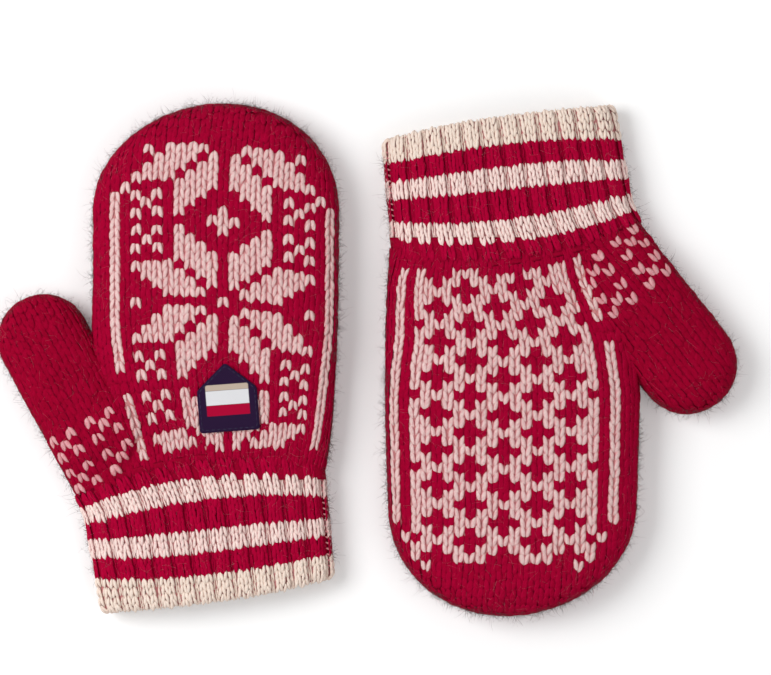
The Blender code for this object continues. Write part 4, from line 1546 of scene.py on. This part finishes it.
@dataclass
class KnitThumb(KnitTube):
    """The knitted thumb and its gusset: loops whose wales run along the thumb, and the ground behind them."""

    region: str = "thumb"
    seed: int = THUMB_SEED
    wool: ClassVar[dict] = THUMB_WOOL
    wales: int = 22
    half_wales: int = 11
    wale_shift: float = 0.3
    first_row: int = -9
    last_row: int = 21
    row_start: float = -21.5
    ground_depth: float = 0.50
    ground_around: int = 72
    mouth_guess: float = -30.0
    mouth_steps: int = 6
    mouth_lowest: float = -50.0
    root_above: float = 4.0
    root_below: float = 2.0
    side_room: float = 1.0
    gusset_edge: float = 0.5
    hidden_start: float = 1.0
    hidden_slope: float = 0.9
    blend_start: float = -12.0
    blend_end: float = 6.0
    fibres: tuple = (220, 1600)

    def pitch(self, y: Array) -> Array:
        """Width of a wale, the same all along the thumb."""
        return 4.0 * self.place.thumb.quarter(np.zeros_like(y)) / self.wales

    @property
    def mid_height(self) -> float:
        """Height that parts the thumb's upper face from its lower one."""
        return self.place.thumb.thickness / 2.0

    def lay(self, wale: Array, row: Array) -> tuple[Array, Array]:
        """Places of loops by wale and row, and the distance left to the rim."""
        thumb = self.place.thumb
        walked = self.row_start + self.row_pitch * row
        along, whole = thumb.along_face(walked)
        base = self.wale_shift - thumb.middle + wale * self.pitch(along)
        arc, left = thumb.over_end(base, along)
        place = self.raised(thumb.to_mitten(thumb.point(along, arc, -self.sunk)))
        return place, np.minimum(left, whole - walked)

    def raised(self, points: Array) -> Array:
        """Points of the upper face, raised where the hand stands beside them and eased onto the cuff's face.

        Over the end of the gusset the knit runs on into the cuff.
        """
        beside = self.place.hand.top(points[..., 0], points[..., 1])
        points = self.place.raised(points, beside, points[..., 2] > self.mid_height)
        x, y, z = np.moveaxis(points, -1, 0)
        near = self.place.cuff.nearness(points)
        middle, half = self.place.cuff.heights(points)
        highest = np.maximum(middle + half, beside)
        return np.stack([x, y, z + near * (np.clip(z, middle - half, highest) - z)], -1)

    def mouth(self, share: Array) -> Array:
        """How far down the thumb its ground starts: on the line of the cuff, found by stepping towards it."""
        thumb, cuff = self.place.thumb, self.place.cuff
        along = np.full(share.shape, self.mouth_guess)
        for _ in range(self.mouth_steps):
            points = thumb.to_mitten(thumb.point(along, 4.0 * thumb.quarter(along) * share))
            along = along + cuff.past_join(points) / math.cos(thumb.angle - cuff.tilt)
        return np.clip(along, self.mouth_lowest, 0.0)

    def hidden(self, points: Array) -> Array:
        """Whether points of the thumb lie inside the hand, or past the gusset's edge."""
        hand, thumb = self.place.hand, self.place.thumb
        x, y, z = points.T
        across, along = thumb.from_mitten(x, y)
        middle, _, half_width, _ = hand.section(y)
        inside = (np.abs(x - middle) < half_width - self.side_room) & (along > self.root_below)
        under = (hand.top(x, y) - z > HIDDEN_UNDER) & (along < self.root_above)
        past = across > thumb.inner_limit(along) + self.gusset_edge
        return np.where(z > self.mid_height, under, inside) | (past & (along < self.root_above))

    def cream(self, wale: Array, row: Array, points: Array) -> Array:
        """Whether each loop is cream, by the gusset's chart."""
        return self.chart.gusset(wale, row)

    def rim(self, pitch: float) -> Stitches:
        """The loops along the rim of the tip, in the mitten's frame."""
        thumb = self.place.thumb
        half = thumb.width / 2.0
        rim = Rim(thumb, half, half, pitch, self.row_pitch).loops()
        rim.place = thumb.to_mitten(rim.place)
        origin = np.array([thumb.root_x, thumb.root_y, 0.0])
        for name in ("across", "along", "out"):
            setattr(rim, name, thumb.to_mitten(getattr(rim, name)) - origin)
        return rim

    def ground(self) -> Piece:
        """The fabric behind the loops: a bag of two walls, which dips under the hand's face."""
        thumb = self.place.thumb
        bag = Bag(thumb, self.ground_depth, self.inner_depth, self.ground_around)
        rows, _, _ = bag.walls(self.mouth(bag.share))
        points, faces = closed_grid(self.raised(thumb.to_mitten(rows)))
        x, y, z = points.T
        across, along = thumb.from_mitten(x, y)
        sunk = self.hidden_slope * np.maximum(across + self.hidden_start - thumb.inner_limit(along), 0.0)
        points[:, 2] = np.where(z > self.mid_height, np.maximum(z - sunk, self.mid_height), z)
        return self.behind(points, faces, np.zeros(len(points)))

    def carry(self, piece: Piece) -> None:
        """Bakes a piece's placement into its mesh; the ends across the thumb's root go unused."""
        thumb = self.place.thumb
        ends = [thumb.to_mitten(np.array([0.0, at, 0.0])) for at in (self.blend_start, self.blend_end)]
        start, end = (tuple(self.place.to_world(point)) for point in ends)
        self.place.body
        self.place.thumb_body
        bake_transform(piece)
        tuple(start)
        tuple(end)


@dataclass
class KnitCuff(Knitted):
    """The ribbed cuff: striped ribs two loops wide with a sunk wale between them, turned in at the rim."""

    region: str = "cuff"
    slot: str = "cuff_wool"
    seed: int = CUFF_SEED
    wool: ClassVar[dict] = CUFF_WOOL
    ribs: int = 26
    rows: int = 18
    inner_rows: int = 6
    row_pitch: float = 3.0
    cream_rows: tuple = (2, 3, 4, 9, 10, 11)
    ecru_rows: tuple = (15, 16, 17, 18, 19, 20, 21)
    rib_top: float = 0.35
    rib_fall: float = 1.0
    rib_flat: float = 0.15
    rib_share: float = 0.185
    rib_wale: float = 0.38
    purl_wale: float = 0.22
    purl_depth: float = 0.38
    rib_step: float = 0.05
    row_step: float = 0.25
    wall: float = 3.0
    first_row: float = -1.5
    ground_depth: float = 0.62
    inner_depth: float = 0.6
    points_per_rib: int = 6
    outer_rings: int = 60
    rim_rings: int = 6
    inner_rings: int = 40
    rim_end: float = 1.2
    inner_start: float = 1.6
    bare_rows: int = 2
    fibres: tuple = (700, 700)

    def row_yarn(self, row: Array) -> Array:
        """Yarn of each row from the wrist: red with two cream stripes and an ecru end that turns in."""
        yarn = np.full(row.shape, Yarn.RED)
        yarn[np.isin(row, self.cream_rows)] = Yarn.CREAM
        yarn[np.isin(row, self.ecru_rows)] = Yarn.ECRU
        return yarn

    def level(self, row: Array, aside: Array) -> Array:
        """Distance of a row past the wrist, bowed at the sides."""
        flat = self.place.cuff.start + self.row_pitch * (row + 0.5)
        return flat + self.place.cuff.bow(flat, aside)

    def rib_height(self, turn: Array) -> Array:
        """How far the ribbed face stands off the mean face: level over a rib, with a valley beside it."""
        from_rib = np.abs(np.mod((turn + 0.5) * self.ribs, 1.0) - 0.5)
        return self.rib_top - self.rib_fall * smooth_step((from_rib - self.rib_flat) / (0.5 - self.rib_flat))

    def lay(self, turn: Array, row: Array, off: Array | float) -> Array:
        """Places of loops by share of the way round and row.

        Rows past the last one turn round the rim and run back inside the cuff.

        Args:
            turn: Share of the way round from the top's middle, from -0.5 to 0.5.
            row: Row from the wrist.
            off: Distance off the cuff's mean face.

        Returns:
            Points in the mitten's frame.
        """
        cuff = self.place.cuff
        rim = math.pi * self.wall / 2.0
        outer = np.minimum(row, self.rows - 0.5)
        past = np.clip((row - self.rows + 0.5) * self.row_pitch, 0.0, None)
        bend = np.clip(past / rim, 0.0, 1.0)
        inside = np.maximum(past - rim, 0.0)
        flat = -outer * self.row_pitch
        aside = cuff.point(flat, 4.0 * cuff.quarter(flat) * turn)[..., 0]
        along = self.level(outer, aside) + self.wall / 2.0 * np.sin(math.pi * bend) - inside
        sunk = self.wall / 2.0 * (1.0 - np.cos(math.pi * bend))
        sign = np.where(bend < 0.5, 1.0, -1.0)
        return cuff.to_mitten(cuff.point(-along, 4.0 * cuff.quarter(-along) * turn, off * sign - sunk))

    def loops(self) -> Stitches:
        """Every loop of the cuff, outside, round the rim and a short way inside."""
        cuff = self.place.cuff
        offsets = np.array([-self.rib_share, self.rib_share, 0.5])
        rows = np.arange(self.rows + self.inner_rows)
        grid = np.meshgrid(np.arange(self.ribs), np.arange(len(offsets)), rows, indexing="ij")
        rib, wale, row = (numbers.ravel() for numbers in grid)
        turn = (rib + 0.5 + offsets[wale]) / self.ribs - 0.5
        purl = wale == len(offsets) - 1
        sunk = np.where(purl, self.purl_depth, 0.0)
        beside = turn + self.rib_step / self.ribs
        off = self.rib_height(turn) - sunk
        place = self.lay(turn, row.astype(float), off)
        ahead = self.lay(turn, row - self.row_step, off)
        aside = self.lay(beside, row.astype(float), self.rib_height(beside) - sunk)
        rib_width = 4.0 * cuff.quarter(np.full(1, -cuff.length / 2.0))[0] / self.ribs
        width = np.where(purl, self.purl_wale, self.rib_wale) * rib_width
        return Stitches.on_surface(place, ahead, aside, width, self.row_pitch, self.row_yarn(row))

    def ground(self) -> Piece:
        """The fabric behind the loops: a sleeve of two walls with its rim turned in."""
        outer = np.linspace(self.first_row, self.rows - 0.5, self.outer_rings)
        rim = np.linspace(self.rows, self.rows + self.rim_end, self.rim_rings)
        inner = np.linspace(self.rows + self.inner_start, 2.0 * self.rows, self.inner_rings)
        turn = np.linspace(-0.5, 0.5, self.ribs * self.points_per_rib + 1)[:-1]
        row, share = np.meshgrid(np.concatenate([outer, rim, inner]), turn, indexing="ij")
        ribbed = row < inner[0]
        off = np.where(ribbed, self.rib_height(share) - self.ground_depth, -self.inner_depth)
        grid = self.lay(share, row, off)
        count, around = row.shape
        faces = grid_faces(count + 1, around) % (count * around)
        cream = self.row_yarn(np.maximum(np.rint(row).astype(int), 0)) != Yarn.RED
        return self.behind(grid.reshape(-1, 3), faces[:, ::-1], cream)

    def hairy(self, loops: Stitches) -> Stitches:
        """The loops outside the cuff, short of its rim."""
        row = np.arange(len(loops.place)) % (self.rows + self.inner_rows)
        return loops.kept(row < self.rows - self.bare_rows)


@dataclass
class Lining:
    """The fleece inside one mitten: a bag in the hand and a bag in the thumb."""

    place: Place
    outer_depth: float = 3.4
    inner_depth: float = 5.2
    hand_start: float = 3.0
    hand_around: int = 96
    thumb_start: float = 1.0
    thumb_latest: float = 24.0
    thumb_around: int = 60
    mouth_steps: int = 8
    hand_room: float = 3.4

    def thumb_mouth(self, share: Array) -> Array:
        """How far up the thumb its bag starts: clear of the hand's side, found by stepping away from it."""
        hand, thumb = self.place.hand, self.place.thumb
        form = thumb.inner(self.outer_depth)
        along = np.full(share.shape, self.thumb_start)
        for _ in range(self.mouth_steps):
            points = thumb.to_mitten(form.point(along, 4.0 * form.quarter(along) * share))
            middle, _, half_width, _ = hand.section(points[..., 1])
            short = self.hand_room - (middle - half_width - points[..., 0])
            along = np.clip(along + short / math.sin(thumb.angle), self.thumb_start, self.thumb_latest)
        return along

    def piece(self, part: str, rows: Array, body: str) -> None:
        """One bag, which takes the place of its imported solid."""
        points, faces = closed_grid(rows)
        name = self.place.name(part)
        piece = new_piece(name + "_fleece", self.place.to_world(points), faces, FLEECE.material())
        fit(piece, name, body)

    def build(self) -> None:
        """Builds both bags."""
        hand, thumb = self.place.hand, self.place.thumb
        bag = Bag(hand, self.outer_depth, self.inner_depth, self.hand_around)
        rows, _, _ = bag.walls(self.hand_start)
        self.piece("hand_lining", rows, self.place.body)
        bag = Bag(thumb, self.outer_depth, self.inner_depth, self.thumb_around)
        rows, _, _ = bag.walls(self.thumb_mouth(bag.share))
        self.piece("thumb_lining", thumb.to_mitten(rows), self.place.thumb_body)


def rounded_outline(corners: list, radius: float, steps: int = 6, edge: int = 14) -> Array:
    """An outline with its corners rounded by quadratic curves.

    Args:
        corners: Corners in order, in X and Y.
        radius: Length cut off each side at a corner.
        steps: Points in each corner's curve.
        edge: Points along each straight side.

    Returns:
        Points in X and Y.
    """
    corners = np.array(corners, float)
    before, after = np.roll(corners, 1, 0), np.roll(corners, -1, 0)
    first = corners + radius * unit(before - corners)
    last = corners + radius * unit(after - corners)
    t = np.linspace(0.0, 1.0, steps)[:, None, None]
    curve = (1.0 - t) ** 2 * first + 2.0 * t * (1.0 - t) * corners + t * t * last
    u = np.linspace(0.0, 1.0, edge + 2)[1:-1, None, None]
    straight = last + u * (np.roll(first, -1, 0) - last)
    return np.concatenate([curve, straight]).transpose(1, 0, 2).reshape(-1, 2)


def patch_rings(outline: Array, middle: Array, thickness: float) -> tuple[Array, Array]:
    """Rings of a thin patch: over its under face from the middle, round its soft edge, and back on top.

    Args:
        outline: Points of its edge.
        middle: The point that the rings close on.
        thickness: Thickness of the patch.

    Returns:
        Points in X and Y with axes ring and place round, and the height of each ring above the under face.
    """
    face = [0.12, 0.3, 0.5, 0.7, 0.88]
    scale = np.array([*face, 0.97, 1.0, 1.0, 0.975, *face[::-1]])
    height = np.array([0.0] * 6 + [0.25, 0.7] + [1.0] * 6)
    return middle + scale[:, None, None] * (outline - middle), thickness * height[:, None]


def thread_radius(radius: float, thin: float, t: Array) -> Array:
    """A stitch's radius along its length, t from 0 to 1: a thin share at its ends, whole in its middle."""
    return radius * (thin + (1.0 - thin) * np.sin(math.pi * t))


@dataclass
class Label:
    """The sewn label: a navy pentagon of twill with plain woven bars, and the thread that holds it."""

    place: Place
    width: float = 24.0
    shoulder: float = 17.0
    height: float = 27.5
    foot_x: float = 12.3
    foot_y: float = 14.4
    turn: float = math.radians(4.3)
    corner: float = 1.5
    centre: float = 0.45
    thickness: float = 0.8
    above_knit: float = 0.25
    hem: float = 1.0
    stitch: float = 1.7
    gap: float = 0.5
    thread: float = 0.24
    thread_end: float = 0.35
    thread_rise: float = 0.12
    thread_sunk: float = 0.05
    thread_rings: int = 5
    thread_sides: int = 6

    @property
    def middle(self) -> Array:
        """The point of the label that its rings close on."""
        return np.array([0.0, self.centre * self.height])

    @property
    def area(self) -> float:
        """Area of the flat label, a rectangle under a triangle, in square metres."""
        return (self.width * self.shoulder + self.width * (self.height - self.shoulder) / 2.0) * MM * MM

    def outline(self, inset: float) -> Array:
        """The pentagon's edge, drawn in towards its middle by an inset."""
        half = self.width / 2.0
        upper = [(half, self.shoulder), (0.0, self.height), (-half, self.shoulder)]
        shape = rounded_outline([(-half, 0.0), (half, 0.0), *upper], self.corner)
        return self.middle + (shape - self.middle) * (1.0 - inset / half)

    def lay(self, flat: Array, off: Array) -> Array:
        """Points of the label's own plane on the mitten's back, which lies up or down.

        Args:
            flat: Points in the label's X and Y.
            off: Distance from the knit.

        Returns:
            Points in the mitten's frame.
        """
        x, y = np.moveaxis(turned(flat, self.turn) + np.array([self.foot_x, self.foot_y]), -1, 0)
        if self.place.turned:
            return np.stack([x, y, self.place.label.top - off + np.zeros_like(x)], -1)
        return np.stack([x, y, self.place.hand.top(x, y) + self.above_knit + off], -1)

    def patch(self) -> None:
        """The twill itself."""
        flat, off = patch_rings(self.outline(0.0), self.middle, self.thickness)
        points, faces = closed_grid(self.lay(flat, off))
        faces = [face[::-1] for face in faces] if self.place.turned else faces
        cloth = np.concatenate([flat.reshape(-1, 2), [self.middle, self.middle]])
        cloth = np.concatenate([cloth, np.zeros((len(cloth), 1))], -1)
        name = self.place.name("label")
        points = self.place.to_world(points)
        piece = new_piece(name + "_twill", points, faces, TWILL.material(), cloth=cloth)
        fit(piece, name, self.place.body)
        self.area

    def stitching(self) -> None:
        """Straight stitches along the hem, each a short strand half sunk in the twill."""
        edge = self.outline(self.hem)
        closed = np.concatenate([edge, edge[:1]])
        walk = np.concatenate([[0.0], np.cumsum(np.linalg.norm(np.diff(closed, axis=0), axis=1))])
        count = int(walk[-1] / (self.stitch + self.gap))
        t = np.linspace(0.0, 1.0, self.thread_rings)
        at = (np.arange(count)[:, None] + t * self.stitch / (self.stitch + self.gap)) * walk[-1] / count
        flat = np.stack([np.interp(at, walk, closed[:, 0]), np.interp(at, walk, closed[:, 1])], -1)
        path = self.lay(flat, self.thickness + self.thread_rise * np.sin(math.pi * t) - self.thread_sunk)
        strands = round_strands(path, thread_radius(self.thread, self.thread_end, t), self.thread_sides)
        name = self.place.name("label_stitching")
        piece = strand_piece(name + "_thread", strands, self.place, LABEL_THREAD, LABEL_SEED)
        fit(piece, name, self.place.body)

    def build(self) -> None:
        """Builds the label and its stitching."""
        self.patch()
        self.stitching()


@dataclass
class CuffTrim:
    """What is sewn to the cuff: the whipped side seam and the care tag inside."""

    place: Place
    seam_start: float = 3.2
    seam_end: float = 48.8
    seam_step: float = 2.3
    seam_reach: float = 2.6
    seam_bias: float = 1.3
    seam_lean: float = 2.4
    seam_radius: float = 0.55
    seam_thin: float = 0.45
    seam_sunk: float = 0.35
    seam_rise: float = 0.75
    seam_rings: int = 6
    seam_sides: int = 7
    tag_width: float = 14.0
    tag_length: float = 20.0
    tag_corner: float = 0.8
    tag_thickness: float = 0.45
    tag_middle: float = 12.0
    tag_low: float = 3.35
    tag_curl: float = 0.5

    def seam(self) -> None:
        """Slanting stitches over the side away from the thumb."""
        cuff = self.place.cuff
        start = np.arange(self.seam_start, self.seam_end, self.seam_step)[:, None]
        t = np.linspace(0.0, 1.0, self.seam_rings)
        along = start + self.seam_lean * (t - 0.5)
        side = cuff.quarter(-along) + self.seam_reach * (2.0 * t - self.seam_bias)
        path = cuff.to_mitten(cuff.point(-along, side, self.seam_rise * np.sin(math.pi * t) - self.seam_sunk))
        strands = round_strands(path, thread_radius(self.seam_radius, self.seam_thin, t), self.seam_sides)
        name = self.place.name("cuff_seam")
        piece = strand_piece(name + "_stitches", strands, self.place, SEAM_WOOL, SEAM_SEED)
        fit(piece, name, self.place.body)

    def tag(self) -> None:
        """A plain satin tag that lies on the lower wall inside the cuff, a little curled at its free end."""
        half, end = self.tag_width / 2.0, self.tag_length / 2.0
        outline = rounded_outline([(-half, -end), (half, -end), (half, end), (-half, end)], self.tag_corner)
        flat, off = patch_rings(outline, np.zeros(2), self.tag_thickness)
        x, y = flat[..., 0], flat[..., 1]
        curl = self.tag_curl * np.clip(-y / end, 0.0, 1.0) ** 2
        own = np.stack([x, y - self.tag_middle, self.tag_low + off + curl], -1)
        points, faces = closed_grid(self.place.cuff.to_mitten(own))
        name = self.place.name("care_tag")
        piece = new_piece(name + "_satin", self.place.to_world(points), faces, SATIN.material())
        fit(piece, name, self.place.body)

    def build(self) -> None:
        """Builds the seam and the tag."""
        self.seam()
        self.tag()


@dataclass(frozen=True)
class Lamp:
    """A square soft lamp, with its place and size in metres and its power in watts."""

    name: str
    place: tuple
    size: float
    power: float

    def build(self, target: Array) -> None:
        """Hangs the lamp and turns it to face a point."""
        light = bpy.data.lights.new(self.name, "AREA")
        light.size = self.size
        light.energy = self.power
        lamp = bpy.data.objects.new(self.name, light)
        lamp.location = self.place
        x, y, z = np.array(self.place) - target
        lean = math.acos(z / math.hypot(x, y, z))
        lamp.rotation_euler = (lean, 0.0, math.atan2(y, x) + math.pi / 2.0)
        bpy.context.scene.collection.objects.link(lamp)


@dataclass(frozen=True)
class Studio:
    """A white table under soft light, seen from straight above through a long lens.

    A key lamp hangs at the upper left and a weak fill at the right, in an even pale room. Sizes are in
    metres, but for the camera's sensor in millimetres.
    """

    view_x: float = 0.00713
    view_y: float = 0.0084
    view_width: float = 0.3084
    camera_height: float = 2.2
    sensor: float = 36.0
    subject_height: float = 0.012
    lamps: tuple = (
        Lamp("key_light", (-0.85, 0.24, 1.05), 0.80, 13.4),
        Lamp("fill_light", (0.9, -0.5, 1.2), 1.2, 4.6),
    )
    room_strength: float = 0.46
    table_half: float = 3.0
    table_white: float = 0.9
    table_glow: float = 0.13

    def table(self) -> None:
        """A plain white table; to the camera it glows a little, so that only the shadow on it is grey."""
        half = self.table_half
        corners = np.array([[-half, -half, 0.0], [half, -half, 0.0], [half, half, 0.0], [-half, half, 0.0]])
        material, tree, shader = new_material("white_table")
        white = (self.table_white,) * 3
        set_inputs(shader, {"Base Color": white, "Roughness": 1.0, "Specular IOR Level": 0.0})
        path = tree.nodes.new("ShaderNodeLightPath")
        seen = combine(tree, "ADD", path.outputs["Is Camera Ray"], path.outputs["Is Glossy Ray"])
        glow = tree.nodes.new("ShaderNodeEmission")
        tree.links.new(combine(tree, "MULTIPLY", seen, self.table_glow), glow.inputs["Strength"])
        both = tree.nodes.new("ShaderNodeAddShader")
        tree.links.new(shader.outputs["BSDF"], both.inputs[0])
        tree.links.new(glow.outputs["Emission"], both.inputs[1])
        tree.links.new(both.outputs["Shader"], tree.nodes["Material Output"].inputs["Surface"])
        new_piece("table", corners, [[0, 1, 2, 3]], material)

    def room(self) -> None:
        """An even white world."""
        world = bpy.data.worlds.new("pale_room")
        bpy.context.scene.world = world
        world.use_nodes = True
        white = {"Color": (1.0, 1.0, 1.0), "Strength": self.room_strength}
        set_inputs(world.node_tree.nodes["Background"], white)

    def camera(self) -> None:
        """A camera straight above, framed to the view's width at the mittens' height."""
        data = bpy.data.cameras.new("camera")
        data.sensor_width = self.sensor
        data.lens = self.sensor * (self.camera_height - self.subject_height) / self.view_width
        camera = bpy.data.objects.new("camera", data)
        camera.location = (self.view_x, self.view_y, self.camera_height)
        bpy.context.scene.collection.objects.link(camera)
        bpy.context.scene.camera = camera

    def build(self) -> None:
        """Sets up the table, the lamps, the room and the camera."""
        bpy.context.scene.view_settings.view_transform = "Standard"
        self.table()
        for lamp in self.lamps:
            lamp.build(np.array([self.view_x, self.view_y, 0.0]))
        self.room()
        self.camera()


LEFT_HAND = HandForm(
    knuckle_width=99.4,
    draw_in=-1.0,
    wrist_lean=4.5,
    knuckle_lean=5.9,
    tip_lean=2.4,
    pattern_shift=4.6,
    row_slope=0.0,
    row_bow=0.0010,
)
PAIR = (
    Place(Side.RIGHT, ThumbForm(math.radians(28.5), 36.9, 22.7, middle=-0.7), HandForm(dome=43.0)),
    Place(Side.LEFT, ThumbForm(math.radians(38.5), 40.0, 19.4), LEFT_HAND, CuffForm(shift=4.6)),
)


def main() -> None:
    """Builds both mittens and the studio."""
    logging.basicConfig(level=logging.INFO, format="%(message)s")
    for place in PAIR:
        for assembly in (KnitHand, KnitThumb, KnitCuff, Lining, Label, CuffTrim):
            assembly(place).build()
    Studio().build()


if __name__ == "__main__":
    main()
